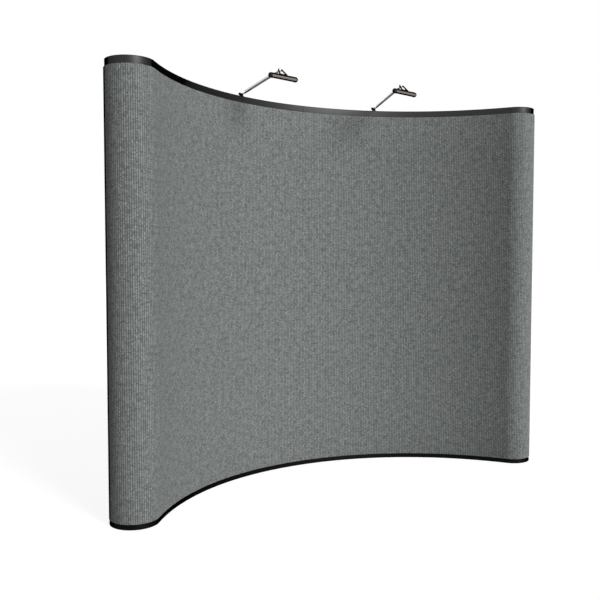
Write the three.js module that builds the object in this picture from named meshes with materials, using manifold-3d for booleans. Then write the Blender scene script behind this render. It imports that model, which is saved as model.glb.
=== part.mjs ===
// Curved pop-up display backwall: a scissor-lattice frame, magnetic channel bars, roll-up fabric
// panels, wrap-round end panels, black edge rails and two clamp-on arm lights.
//
// Millimetres, +Z up. The viewer stands on the -Y side and the wall is concave towards the viewer.
// The plan is laid out about the centre of curvature: a point is given by its distance from that
// centre and its angle from the wall's middle, positive to the right. "Depth" is the distance behind
// the fabric's front face. The finished model stands on z = 0 with its box centred on the Z axis.

import * as THREE from "three";
import { mergeVertices } from "three/addons/utils/BufferGeometryUtils.js";
import Module from "manifold-3d";

const wasm = await Module();
wasm.setup();

// ---------------------------------------------------------------- driving dimensions

const RAD = Math.PI / 180;

// Whole wall
const WALL_HEIGHT = 2250;
const FRONT_RADIUS = 1406; // fabric face of the concave front
const HALF_SWEEP = 54.6; // degrees from the middle to each end of the concave front
const END_RADIUS = 125; // fabric face of the rounded ends
const BAYS = 4; // bays across the width
const ROWS = 3; // bays up the height
const END_TAIL = 14; // straight run of an end panel past its half turn

// Clearances
const REST_GAP = 0.3; // between pieces that rest on each other
const SEAM_GAP = 1.6; // between neighbouring panels
const RAIL_SEAM = 1; // between neighbouring rails
const PIVOT_GAP = 0.3; // round a pin in its hole, and beside an eye in its fork
const HOLE_GAP = 0.2; // extra radius so that a faceted hole clears a faceted pin
const CUT_PAST = 1; // how far a cut runs past the piece that it cuts
const SUNK = 1; // how far one shape of a piece starts inside the next

// Panels: a fabric-faced sheet with magnetic tape down both edges
const SHEET_THICK = 2.5;
const TAPE_THICK = 1.5;
const TAPE_WIDTH = 12.5;
const PANEL_BOTTOM = 28; // height of the panels' lower edge
const TOP_REVEAL = 39; // rail left showing above the panels

// Rails: black profiles along the top and bottom edges
const RAIL_RECESS = 5.5; // how far the rails' face lies behind the fabric face
const RAIL_WALL = 3;
const RAIL_LAP = 12; // how far the rails reach behind the panels
const RAIL_DEPTH = 21.5; // front face to back face of the top rail
const TOP_LIP_DROP = 15; // height of the top rail's rear lip
const BOTTOM_RAIL_LIFT = 2; // clearance under the bottom rails
const BEAD_HEIGHT = 12; // height of the bottom rails' thicker foot strip
const BEAD_DEPTH = 3.5; // how far the foot strip stands in front of the rail face
const BEAD_SLOPE = 1; // rise of the foot strip's sloping top

// Magnetic channel bars
const BAR_WIDTH = 28;
const BAR_DEPTH = 8;
const BAR_WALL = 1.6;
const BAR_END_GAP = 2; // from a bar's end to the rail

// Lattice frame
const HUB_RADIUS = 27;
const HUB_THICK = 16;
const BOTTOM_HUB_Z = 62;
const TOP_HUB_DROP = 75; // wall height down to the top hubs' centres
const TUBE_RADIUS = 5;
const TUBE_STEP = 6; // how far each crossed tube lies off the hubs' centre plane
const RIVET_RADIUS = 3;
const TIP_THICK = 6; // flat tip of a tube
const TIP_WIDTH = 12;
const TIP_BACK = 5; // tip length past its pivot
const TIP_REACH = 22; // pivot to the start of the round tube
const TIP_OVERLAP = 4; // how far the tip is pushed into the tube
const PIVOT_OFFSET = 16; // hub centre to the tips' pivots
const SLOT_FLOOR = 8; // hub centre to the bottom of a slot
const SLOT_GAP = 0.4; // above and below a tip in its slot
const UPRIGHT_INSET = 18; // hub centre to the end of an upright tube inside the hub
const POST_WIDTH = 24; // posts that carry the rails
const FOOT_RADIUS = 14;
const FOOT_HEIGHT = 6;
const FOOT_INSET = 3.5; // from a hub's centre plane towards the middle of the wall
const LEG_RADIUS = 7;

// Light clamps, measured from the top rail's fabric-side edge
const LIGHT_ANGLES = [-17.7, 19.8]; // degrees from the wall's middle
const LIGHT_HEADINGS = [5.2, -12.1]; // arms, degrees from straight ahead, positive to the right
const HEAD_HEADING = 12; // both heads
const CLAMP_WIDTH = 22;
const CLAMP_WALL = 4;
const CLAMP_JAW = 3; // thickness of the hooked jaw inside the rail
const CLAMP_JAW_TOP = -4;
const JAW_GAP = 0.7; // straight jaw to the curved lip
const CLAMP_BELOW_LIP = 1; // from the rail's rear lip to the hook
const CLAMP_THROAT = 15; // from the rear lip's back to the clamp's back wall
const SHELF_RISE = 4; // rail top to the underside of the clamp's shelf
const SHELF_THICK = 5;
const SHELF_BACK = 4; // shelf behind the clamp's back wall
const SCREW_RADIUS = 3;
const SCREW_DROP = 8; // rail top to the screw's centre
const PAD_RADIUS = 6;
const PAD_THICK = 3.7;
const SCREW_KNOB_RADIUS = 11;
const SCREW_KNOB_LENGTH = 12;
const SCREW_KNOB_GAP = 2; // knob to the clamp's back wall
const KNOB_SIDES = 18;
const KNOB_FLUTES = 6;
const FLUTE_OUT = 1.12; // a flute's centre, as a share of the knob's radius
const FLUTE_RADIUS = 0.28; // a flute's radius, as a share of the knob's radius

// Swivel, arm and head
const SWIVEL_BACK = 9; // rail's rear lip to the swivel's vertical axis
const SWIVEL_RADIUS = 9;
const SWIVEL_BASE = 2.5;
const SWIVEL_PIN_RADIUS = 3;
const SWIVEL_HEAD_RADIUS = 5;
const SWIVEL_HEAD_THICK = 2.5;
const ARM_PIVOT_RISE = 19; // rail top to the arm's tilt axis
const ARM_RADIUS = 7;
const ARM_EYE_RADIUS = 6.5;
const ARM_EYE_WIDTH = 11;
const ARM_REACH = 420; // tilt axis to head axis, measured level
const ARM_RISE = 54;
const EYE_REACH = 12; // eye centre to the start of the round arm
const CHEEK_THICK = 2.7;
const PIN_RADIUS = 2.5;
const PIN_END = 2; // pin standing out past its fork
const TILT_KNOB_RADIUS = 8;
const TILT_KNOB_LENGTH = 8;
const HEAD_FORWARD = 28; // head axis to the housing's own axis, level
const HEAD_DROP = 44; // head axis down to the housing's own axis
const HEAD_LENGTH = 200;
const HEAD_RADIUS = 14.5;
const HEAD_WALL = 2.5;
const HEAD_SIDES = 32;
const WINDOW_TURN = 38; // degrees that the window looks back towards the wall
const WINDOW_LENGTH = 150;
const WINDOW_WIDTH = 17;
const COVER_TURN = 17; // degrees that the cover strip looks down
const COVER_LENGTH = 168;
const COVER_WIDTH = 14;
const COVER_THICK = 0.5;
const YOKE_THICK = 3;
const YOKE_SPREAD = 23; // middle of the housing to each foot of the yoke
const YOKE_LEG = 3.5; // radius of the yoke's legs
const SADDLE_LENGTH = 56;
const SADDLE_WIDTH = 16;
const SADDLE_THICK = 2.7; // at the housing's crown
const SADDLE_SKIRT = 9; // housing's axis up to the saddle's lower edges
const GLAND_RADIUS = 5;
const GLAND_LENGTH = 12;
const GLAND_TURN = 20; // degrees that the gland looks up
const REFLECTOR_WALL = 1.2;
const REFLECTOR_GAP = 0.4;
const REFLECTOR_LENGTH = 152;
const REFLECTOR_RIM = 5; // housing's axis down to the reflector's edges
const LAMP_RADIUS = 4;
const LAMP_LENGTH = 112;
const SOCKET_SIZE = 9;
const SOCKET_LENGTH = 12;

// ---------------------------------------------------------------- derived sizes

const BAY_ANGLE = (2 * HALF_SWEEP) / BAYS;
const TOP_RAIL_BOTTOM = WALL_HEIGHT - TOP_REVEAL - RAIL_LAP;
const PANEL_TOP = WALL_HEIGHT - TOP_REVEAL;
const BOTTOM_RAIL_TOP = PANEL_BOTTOM + RAIL_LAP;
const WALL_DEPTH = 2 * END_RADIUS; // front fabric face to back fabric face at the ends
const BAR_FACE = SHEET_THICK + TAPE_THICK + REST_GAP; // depth of a channel bar's face
const HUB_FACE = BAR_FACE + BAR_DEPTH + REST_GAP; // depth of a front hub's face
const FRONT_HUB_DEPTH = HUB_FACE + HUB_THICK / 2;
const BACK_HUB_DEPTH = WALL_DEPTH - FRONT_HUB_DEPTH;
const RAIL_BACK = RAIL_RECESS + RAIL_DEPTH;
const POST_FRONT = RAIL_RECESS + RAIL_WALL + REST_GAP;
const POST_BACK = RAIL_BACK - RAIL_WALL - REST_GAP;
const POST_TOP = WALL_HEIGHT - RAIL_WALL - REST_GAP;
const TOP_HUB_Z = WALL_HEIGHT - TOP_HUB_DROP;
const HUB_PITCH = (TOP_HUB_Z - BOTTOM_HUB_Z) / ROWS;
const SLOT_HEIGHT = TIP_THICK + 2 * SLOT_GAP;
const SEAM_ANGLE = SEAM_GAP / FRONT_RADIUS / RAD / 2;
const RAIL_SEAM_ANGLE = RAIL_SEAM / FRONT_RADIUS / RAD / 2;
const PANEL_STEPS = 12; // facets across one bay
const END_STEPS = 16; // facets round one end
const ROUND_SIDES = 12;
const TUBE_SIDES = 8;
// An end column's posts stand back by what the first facet of the rounded rail bends inwards.
const END_POST_SETBACK = (POST_WIDTH / 2) * Math.tan(Math.PI / (2 * END_STEPS));

// ---------------------------------------------------------------- materials

function finish(color, roughness, metalness) {
  return () => new THREE.MeshStandardMaterial({ color, roughness, metalness });
}

const FABRIC = finish(0x767c7a, 0.95, 0);
const BLACK_RAIL = finish(0x141414, 0.4, 0.6);
const BLACK_PLASTIC = finish(0x1b1b1c, 0.5, 0);
const FRAME_METAL = finish(0x9a9da0, 0.35, 0.9);
const BAR_STEEL = finish(0x3a3c3e, 0.5, 0.7);
const CHROME = finish(0xc8c6c4, 0.15, 1);
const REFLECTOR_METAL = finish(0xa69d98, 0.3, 0.9);
const LAMP_GLASS = finish(0xe9e4da, 0.2, 0);

// ---------------------------------------------------------------- solid tools

function solid(geometry, matrix) {
  const moved = geometry.clone();
  if (matrix) moved.applyMatrix4(matrix);
  moved.deleteAttribute("normal");
  moved.deleteAttribute("uv");
  const merged = mergeVertices(moved, 1e-4);
  return new wasm.Manifold(
    new wasm.Mesh({
      numProp: 3,
      vertProperties: new Float32Array(merged.attributes.position.array),
      triVerts: new Uint32Array(merged.index.array),
    }),
  );
}

function join(solids) {
  return solids.reduce((whole, piece) => whole.add(piece));
}

function geometryOf(manifold) {
  const data = manifold.getMesh();
  const geometry = new THREE.BufferGeometry();
  geometry.setAttribute("position", new THREE.BufferAttribute(data.vertProperties, 3));
  geometry.setIndex(new THREE.BufferAttribute(data.triVerts, 1));
  return geometry.toNonIndexed();
}

function piece(parent, name, shape, material) {
  const geometry = shape.isBufferGeometry ? shape : geometryOf(shape);
  geometry.computeVertexNormals();
  const mesh = new THREE.Mesh(geometry, material());
  mesh.name = name;
  parent.add(mesh);
  return mesh;
}

function shift(x, y, z) {
  return new THREE.Matrix4().makeTranslation(x, y, z);
}

// A box from its low and high corners.
function box(low, high) {
  const size = high.map((value, axis) => value - low[axis]);
  const middle = high.map((value, axis) => (value + low[axis]) / 2);
  return solid(new THREE.BoxGeometry(...size), shift(...middle));
}

// A round bar between two points.
function rod(start, end, radius, sides = ROUND_SIDES) {
  const from = new THREE.Vector3(...start);
  const run = new THREE.Vector3(...end).sub(from);
  const turn = new THREE.Quaternion().setFromUnitVectors(
    new THREE.Vector3(0, 1, 0),
    run.clone().normalize(),
  );
  const middle = from.addScaledVector(run, 0.5);
  const place = new THREE.Matrix4().compose(middle, turn, new THREE.Vector3(1, 1, 1));
  return solid(new THREE.CylinderGeometry(radius, radius, run.length(), sides), place);
}

// A plan outline drawn up from one height to another.
function planPrism(outline, low, high) {
  const shape = new THREE.Shape(outline.map(([x, y]) => new THREE.Vector2(x, y)));
  const options = { depth: high - low, bevelEnabled: false, curveSegments: 1 };
  const geometry = new THREE.ExtrudeGeometry(shape, options);
  geometry.translate(0, 0, low);
  return solid(geometry);
}

// A side outline (y, z) drawn out along X, centred on x = 0.
function sidePrism(outline, width) {
  const shape = new THREE.Shape(outline.map(([y, z]) => new THREE.Vector2(y, z)));
  const options = { depth: width, bevelEnabled: false, curveSegments: 1 };
  const geometry = new THREE.ExtrudeGeometry(shape, options);
  // The extrusion runs along Z, so (x, y, z) becomes (z, x, y).
  const turn = new THREE.Matrix4().set(0, 0, 1, -width / 2, 1, 0, 0, 0, 0, 1, 0, 0, 0, 0, 0, 1);
  return solid(geometry, turn);
}

// A profile of (depth, height) points carried along a plan path. Each station of the path is a
// point of the fabric face with the direction that leads behind it.
function railAlong(path, profile) {
  const points = [];
  for (const station of path) {
    for (const [depth, height] of profile) {
      points.push(station.x + station.nx * depth, station.y + station.ny * depth, height);
    }
  }
  const ring = profile.length;
  const faces = [];
  for (let step = 0; step < path.length - 1; step++) {
    for (let side = 0; side < ring; side++) {
      const a = step * ring + side;
      const b = step * ring + ((side + 1) % ring);
      faces.push(a, b, b + ring, a, b + ring, a + ring);
    }
  }
  const contour = profile.map(([depth, height]) => new THREE.Vector2(depth, height));
  const last = (path.length - 1) * ring;
  const clockwise = THREE.ShapeUtils.isClockWise(contour);
  for (const triangle of THREE.ShapeUtils.triangulateShape(contour, [])) {
    const [a, b, c] = clockwise ? triangle.reverse() : triangle;
    faces.push(a, c, b, last + a, last + b, last + c);
  }
  const geometry = new THREE.BufferGeometry();
  geometry.setAttribute("position", new THREE.Float32BufferAttribute(points, 3));
  geometry.setIndex(faces);
  if (signedVolume(points, faces) < 0) {
    for (let face = 0; face < faces.length; face += 3) {
      [faces[face + 1], faces[face + 2]] = [faces[face + 2], faces[face + 1]];
    }
    geometry.setIndex(faces);
  }
  return geometry.toNonIndexed();
}

function signedVolume(points, faces) {
  const corner = (index) => new THREE.Vector3().fromArray(points, 3 * index);
  let volume = 0;
  for (let face = 0; face < faces.length; face += 3) {
    const [a, b, c] = faces.slice(face, face + 3).map(corner);
    volume += a.dot(b.cross(c)) / 6;
  }
  return volume;
}

// ---------------------------------------------------------------- plan of the wall

// A plan point from its depth behind the fabric face and its angle from the middle.
function arcPoint(depth, angle) {
  const radius = FRONT_RADIUS + depth;
  return [radius * Math.sin(angle * RAD), radius * Math.cos(angle * RAD) - FRONT_RADIUS];
}

function arcPoints(depth, from, to, steps) {
  return Array.from({ length: steps + 1 }, (_, i) => arcPoint(depth, from + ((to - from) * i) / steps));
}

// A plan point beside an end column: along the wall's run past the column, and its depth.
function endPoint(along, depth, side) {
  const angle = HALF_SWEEP * RAD;
  const radius = FRONT_RADIUS + depth;
  const x = radius * Math.sin(angle) + along * Math.cos(angle);
  const y = radius * Math.cos(angle) - along * Math.sin(angle) - FRONT_RADIUS;
  return [side * x, y];
}

// The rounded end's outline at a depth behind the fabric face, from the front seam round to the tail.
function endOutline(depth, start, tail, side) {
  const points = [endPoint(start, depth, side)];
  const radius = END_RADIUS - depth;
  for (let step = 0; step <= END_STEPS; step++) {
    const turn = (Math.PI * step) / END_STEPS;
    const along = radius * Math.sin(turn);
    if (along > start || turn > Math.PI / 2) {
      points.push(endPoint(along, END_RADIUS - radius * Math.cos(turn), side));
    }
  }
  points.push(endPoint(-tail, WALL_DEPTH - depth, side));
  return points;
}

// Stations of the concave front for a rail.
function arcPath(from, to, steps) {
  return Array.from({ length: steps + 1 }, (_, i) => {
    const angle = from + ((to - from) * i) / steps;
    const [x, y] = arcPoint(0, angle);
    return { x, y, nx: Math.sin(angle * RAD), ny: Math.cos(angle * RAD) };
  });
}

// Stations of a rounded end for a rail.
function endPath(start, tail, side) {
  const face = endOutline(0, start, tail, side);
  const inner = endOutline(1, start, tail, side);
  return face.map(([x, y], i) => ({ x, y, nx: inner[i][0] - x, ny: inner[i][1] - y }));
}

function columnAngle(column) {
  return -HALF_SWEEP + column * BAY_ANGLE;
}

// A group whose local X runs along the wall and local Y leads behind the fabric face.
function wallGroup(parent, angle, height) {
  const group = new THREE.Group();
  const [x, y] = arcPoint(0, angle);
  group.position.set(x, y, height);
  group.rotation.z = -angle * RAD;
  parent.add(group);
  return group;
}

const wall = new THREE.Group();
wall.name = "pop_up_display_backwall";

// ---------------------------------------------------------------- lattice frame

// A hub: a disc facing the viewer with a slot each side for the level tubes' tips.
function hub(depth, height, rightStep) {
  const turn = new THREE.Matrix4().makeTranslation(0, depth, height);
  let body = solid(new THREE.CylinderGeometry(HUB_RADIUS, HUB_RADIUS, HUB_THICK, ROUND_SIDES), turn);
  for (const side of [-1, 1]) {
    const middle = height + side * rightStep;
    const inner = side * SLOT_FLOOR;
    const outer = side * (HUB_RADIUS + CUT_PAST);
    const slot = box(
      [Math.min(inner, outer), depth - HUB_THICK, middle - SLOT_HEIGHT / 2],
      [Math.max(inner, outer), depth + HUB_THICK, middle + SLOT_HEIGHT / 2],
    );
    body = body.subtract(slot);
  }
  return body;
}

// One column: its front and back hubs, the crossed upright tubes between them with their rivets,
// the posts that carry the rails and the feet.
function frameColumn(column) {
  const atEnd = column === 0 || column === BAYS;
  const solids = [];
  for (let level = 0; level <= ROWS; level++) {
    const height = BOTTOM_HUB_Z + level * HUB_PITCH;
    solids.push(hub(FRONT_HUB_DEPTH, height, TUBE_STEP));
    solids.push(hub(BACK_HUB_DEPTH, height, -TUBE_STEP));
    if (level === ROWS) continue;
    const low = height + UPRIGHT_INSET;
    const high = height + HUB_PITCH - UPRIGHT_INSET;
    const step = TUBE_STEP;
    solids.push(rod([step, FRONT_HUB_DEPTH, low], [step, BACK_HUB_DEPTH, high], TUBE_RADIUS, TUBE_SIDES));
    solids.push(rod([-step, BACK_HUB_DEPTH, low], [-step, FRONT_HUB_DEPTH, high], TUBE_RADIUS, TUBE_SIDES));
    const middle = (low + high) / 2;
    solids.push(rod([-step, WALL_DEPTH / 2, middle], [step, WALL_DEPTH / 2, middle], RIVET_RADIUS, TUBE_SIDES));
  }
  const postFloor = TOP_HUB_Z + UPRIGHT_INSET;
  const postRoof = BOTTOM_HUB_Z - UPRIGHT_INSET;
  const postFront = atEnd ? POST_FRONT + END_POST_SETBACK : POST_FRONT;
  const posts = [[postFront, POST_BACK]];
  if (atEnd) posts.push([WALL_DEPTH - POST_BACK, WALL_DEPTH - postFront]);
  for (const [front, back] of posts) {
    solids.push(box([-POST_WIDTH / 2, front, postFloor], [POST_WIDTH / 2, back, POST_TOP]));
    solids.push(box([-POST_WIDTH / 2, front, FOOT_HEIGHT / 2], [POST_WIDTH / 2, back, postRoof]));
  }
  for (const depth of [FRONT_HUB_DEPTH + FOOT_INSET, BACK_HUB_DEPTH - FOOT_INSET]) {
    solids.push(rod([0, depth, 0], [0, depth, FOOT_HEIGHT], FOOT_RADIUS));
    solids.push(rod([0, depth, FOOT_HEIGHT / 2], [0, depth, postRoof], LEG_RADIUS));
  }
  return join(solids);
}

for (let column = 0; column <= BAYS; column++) {
  const place = wallGroup(wall, columnAngle(column), 0);
  piece(place, `frame_column_${column + 1}`, frameColumn(column), FRAME_METAL);
}

// A level tube with a flat tip at each end, between two pivots.
function levelTube(start, end, height) {
  const from = new THREE.Vector3(start[0], start[1], height);
  const to = new THREE.Vector3(end[0], end[1], height);
  const run = to.clone().sub(from);
  const length = run.length();
  const turn = new THREE.Matrix4().makeRotationZ(Math.atan2(run.y, run.x));
  const place = turn.setPosition(from);
  const tip = TIP_REACH + TIP_OVERLAP;
  const shapes = [
    rod([TIP_REACH, 0, 0], [length - TIP_REACH, 0, 0], TUBE_RADIUS, TUBE_SIDES),
    box([-TIP_BACK, -TIP_WIDTH / 2, -TIP_THICK / 2], [tip, TIP_WIDTH / 2, TIP_THICK / 2]),
    box([length - tip, -TIP_WIDTH / 2, -TIP_THICK / 2], [length + TIP_BACK, TIP_WIDTH / 2, TIP_THICK / 2]),
  ];
  return join(shapes).transform(place.toArray());
}

// The plan point of a hub's pivot on one side of its column.
function pivotPoint(column, side, depth) {
  const angle = columnAngle(column) * RAD;
  const [x, y] = arcPoint(depth, columnAngle(column));
  return [x + side * PIVOT_OFFSET * Math.cos(angle), y - side * PIVOT_OFFSET * Math.sin(angle)];
}

// Where two plan lines cross.
function crossing([a, b], [c, d]) {
  const r = [b[0] - a[0], b[1] - a[1]];
  const s = [d[0] - c[0], d[1] - c[1]];
  const t = ((c[0] - a[0]) * s[1] - (c[1] - a[1]) * s[0]) / (r[0] * s[1] - r[1] * s[0]);
  return [a[0] + t * r[0], a[1] + t * r[1]];
}

// Two level tubes crossed and riveted in one bay of one row.
function scissorPair(bay, level) {
  const height = BOTTOM_HUB_Z + level * HUB_PITCH;
  const upper = [pivotPoint(bay, 1, FRONT_HUB_DEPTH), pivotPoint(bay + 1, -1, BACK_HUB_DEPTH)];
  const lower = [pivotPoint(bay, 1, BACK_HUB_DEPTH), pivotPoint(bay + 1, -1, FRONT_HUB_DEPTH)];
  const [x, y] = crossing(upper, lower);
  return join([
    levelTube(...upper, height + TUBE_STEP),
    levelTube(...lower, height - TUBE_STEP),
    rod([x, y, height - TUBE_STEP], [x, y, height + TUBE_STEP], RIVET_RADIUS, TUBE_SIDES),
  ]);
}

for (let level = 0; level <= ROWS; level++) {
  for (let bay = 0; bay < BAYS; bay++) {
    piece(wall, `scissor_pair_row${level + 1}_bay${bay + 1}`, scissorPair(bay, level), FRAME_METAL);
  }
}

// ---------------------------------------------------------------- channel bars

// A steel channel with its web towards the panels and its open side towards the hubs.
function channelOutline(face, towardsHub) {
  const half = BAR_WIDTH / 2;
  const web = face + towardsHub * BAR_WALL;
  const back = face + towardsHub * BAR_DEPTH;
  return [
    [-half, face],
    [half, face],
    [half, back],
    [half - BAR_WALL, back],
    [half - BAR_WALL, web],
    [BAR_WALL - half, web],
    [BAR_WALL - half, back],
    [-half, back],
  ];
}

const BAR_BOTTOM = BOTTOM_RAIL_TOP + BAR_END_GAP;
const BAR_TOP = TOP_RAIL_BOTTOM - BAR_END_GAP;

for (let column = 0; column <= BAYS; column++) {
  const place = wallGroup(wall, columnAngle(column), 0);
  const front = planPrism(channelOutline(BAR_FACE, 1), BAR_BOTTOM, BAR_TOP);
  piece(place, `channel_bar_${column + 1}`, front, BAR_STEEL);
  if (column > 0 && column < BAYS) continue;
  const rear = planPrism(channelOutline(WALL_DEPTH - BAR_FACE, -1), BAR_BOTTOM, BAR_TOP);
  piece(place, `rear_channel_bar_${column === 0 ? "left" : "right"}`, rear, BAR_STEEL);
}

// ---------------------------------------------------------------- fabric panels

// One front panel: the sheet follows the arc, and its back steps out to the tape at both edges.
function frontPanel(bay) {
  const from = columnAngle(bay) + SEAM_ANGLE;
  const to = columnAngle(bay + 1) - SEAM_ANGLE;
  const tape = TAPE_WIDTH / FRONT_RADIUS / RAD;
  const back = SHEET_THICK;
  const taped = SHEET_THICK + TAPE_THICK;
  const outline = [
    ...arcPoints(0, from, to, PANEL_STEPS),
    arcPoint(taped, to),
    arcPoint(taped, to - tape),
    ...arcPoints(back, to - tape, from + tape, PANEL_STEPS),
    arcPoint(taped, from + tape),
    arcPoint(taped, from),
  ];
  return planPrism(outline, PANEL_BOTTOM, PANEL_TOP);
}

// One end panel: it starts at the front seam, turns half round and ends on the rear bar.
function endPanel(side) {
  const seam = SEAM_GAP / 2;
  const taped = SHEET_THICK + TAPE_THICK;
  const tapeEnd = seam + TAPE_WIDTH;
  const inner = endOutline(SHEET_THICK, tapeEnd, END_TAIL - TAPE_WIDTH, side).reverse();
  const outline = [
    ...endOutline(0, seam, END_TAIL, side),
    endPoint(-END_TAIL, WALL_DEPTH - taped, side),
    endPoint(TAPE_WIDTH - END_TAIL, WALL_DEPTH - taped, side),
    ...inner,
    endPoint(tapeEnd, taped, side),
    endPoint(seam, taped, side),
  ];
  return planPrism(outline, PANEL_BOTTOM, PANEL_TOP);
}

for (let bay = 0; bay < BAYS; bay++) {
  piece(wall, `front_panel_${bay + 1}`, frontPanel(bay), FABRIC);
}
piece(wall, "end_panel_left", endPanel(-1), FABRIC);
piece(wall, "end_panel_right", endPanel(1), FABRIC);

// ---------------------------------------------------------------- edge rails

// Top rail: face plate, top flange and rear lip, a channel open downwards.
const TOP_PROFILE = [
  [RAIL_RECESS, TOP_RAIL_BOTTOM],
  [RAIL_RECESS, WALL_HEIGHT],
  [RAIL_BACK, WALL_HEIGHT],
  [RAIL_BACK, WALL_HEIGHT - TOP_LIP_DROP],
  [RAIL_BACK - RAIL_WALL, WALL_HEIGHT - TOP_LIP_DROP],
  [RAIL_BACK - RAIL_WALL, WALL_HEIGHT - RAIL_WALL],
  [RAIL_RECESS + RAIL_WALL, WALL_HEIGHT - RAIL_WALL],
  [RAIL_RECESS + RAIL_WALL, TOP_RAIL_BOTTOM],
];

// Bottom rail: face plate with a thicker foot strip.
const BOTTOM_PROFILE = [
  [RAIL_RECESS - BEAD_DEPTH, BOTTOM_RAIL_LIFT],
  [RAIL_RECESS - BEAD_DEPTH, BOTTOM_RAIL_LIFT + BEAD_HEIGHT],
  [RAIL_RECESS, BOTTOM_RAIL_LIFT + BEAD_HEIGHT + BEAD_SLOPE],
  [RAIL_RECESS, BOTTOM_RAIL_TOP],
  [RAIL_RECESS + RAIL_WALL, BOTTOM_RAIL_TOP],
  [RAIL_RECESS + RAIL_WALL, BOTTOM_RAIL_LIFT],
];

const HALF_RAIL_STEPS = (PANEL_STEPS * BAYS) / 2;

for (const side of [-1, 1]) {
  const word = side < 0 ? "left" : "right";
  const inner = side * RAIL_SEAM_ANGLE;
  const outer = side * (HALF_SWEEP - RAIL_SEAM_ANGLE);
  const half = arcPath(inner, outer, HALF_RAIL_STEPS);
  const end = endPath(RAIL_SEAM / 2, END_TAIL, side);
  piece(wall, `top_rail_${word}`, railAlong(half, TOP_PROFILE), BLACK_RAIL);
  piece(wall, `top_end_rail_${word}`, railAlong(end, TOP_PROFILE), BLACK_RAIL);
  piece(wall, `bottom_rail_${word}`, railAlong(half, BOTTOM_PROFILE), BLACK_RAIL);
  piece(wall, `bottom_end_rail_${word}`, railAlong(end, BOTTOM_PROFILE), BLACK_RAIL);
}

// ---------------------------------------------------------------- lights

const LIP_BOTTOM = -TOP_LIP_DROP;
const CLAMP_HOOK_TOP = LIP_BOTTOM - CLAMP_BELOW_LIP;
const CLAMP_WALL_FRONT = RAIL_BACK + CLAMP_THROAT;
const CLAMP_WALL_BACK = CLAMP_WALL_FRONT + CLAMP_WALL;
const JAW_BACK = RAIL_BACK - RAIL_WALL - JAW_GAP;
const SHELF_TOP = SHELF_RISE + SHELF_THICK;
const SWIVEL_DEPTH = RAIL_BACK + SWIVEL_BACK;
const SHELF_FRONT = RAIL_BACK + REST_GAP;

// The hooked clamp: a jaw inside the top rail's rear lip, a back wall for the screw and a shelf
// above the rail for the swivel.
function clampBody() {
  const outline = [
    [JAW_BACK - CLAMP_JAW, CLAMP_JAW_TOP],
    [JAW_BACK - CLAMP_JAW, CLAMP_HOOK_TOP - CLAMP_WALL],
    [CLAMP_WALL_BACK, CLAMP_HOOK_TOP - CLAMP_WALL],
    [CLAMP_WALL_BACK, SHELF_RISE],
    [CLAMP_WALL_BACK + SHELF_BACK, SHELF_RISE],
    [CLAMP_WALL_BACK + SHELF_BACK, SHELF_TOP],
    [SHELF_FRONT, SHELF_TOP],
    [SHELF_FRONT, SHELF_RISE],
    [CLAMP_WALL_FRONT, SHELF_RISE],
    [CLAMP_WALL_FRONT, CLAMP_HOOK_TOP],
    [JAW_BACK, CLAMP_HOOK_TOP],
    [JAW_BACK, CLAMP_JAW_TOP],
  ];
  const screwHole = rod(
    [0, CLAMP_WALL_FRONT - CUT_PAST, -SCREW_DROP],
    [0, CLAMP_WALL_BACK + CUT_PAST, -SCREW_DROP],
    SCREW_RADIUS + PIVOT_GAP + HOLE_GAP,
  );
  const pinHole = rod(
    [0, SWIVEL_DEPTH, SHELF_RISE - CUT_PAST],
    [0, SWIVEL_DEPTH, SHELF_TOP + CUT_PAST],
    SWIVEL_PIN_RADIUS + PIVOT_GAP + HOLE_GAP,
  );
  return sidePrism(outline, CLAMP_WIDTH).subtract(screwHole).subtract(pinHole);
}

const PAD_FACE = RAIL_BACK + REST_GAP;
const SCREW_START = PAD_FACE + PAD_THICK + REST_GAP;
const KNOB_START = CLAMP_WALL_BACK + SCREW_KNOB_GAP;

// A knob between two points of its level axis, with flutes along its rim.
function knob(start, end, radius) {
  const from = new THREE.Vector3(...start);
  const to = new THREE.Vector3(...end);
  const along = to.clone().sub(from).normalize();
  let body = rod(start, end, radius, KNOB_SIDES);
  for (let flute = 0; flute < KNOB_FLUTES; flute++) {
    const turn = (2 * Math.PI * flute) / KNOB_FLUTES;
    const out = new THREE.Vector3(0, 0, FLUTE_OUT * radius).applyAxisAngle(along, turn);
    const low = from.clone().add(out).addScaledVector(along, -CUT_PAST);
    const high = to.clone().add(out).addScaledVector(along, CUT_PAST);
    body = body.subtract(rod(low.toArray(), high.toArray(), FLUTE_RADIUS * radius, TUBE_SIDES));
  }
  return body;
}

function clampScrew() {
  const shaft = rod([0, SCREW_START, -SCREW_DROP], [0, KNOB_START + SUNK, -SCREW_DROP], SCREW_RADIUS);
  const grip = knob(
    [0, KNOB_START, -SCREW_DROP],
    [0, KNOB_START + SCREW_KNOB_LENGTH, -SCREW_DROP],
    SCREW_KNOB_RADIUS,
  );
  return shaft.add(grip);
}

const FORK_INSIDE = ARM_EYE_WIDTH / 2 + PIVOT_GAP;
const FORK_OUTSIDE = FORK_INSIDE + CHEEK_THICK;
const FORK_FLOOR = SHELF_TOP + REST_GAP;

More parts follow.
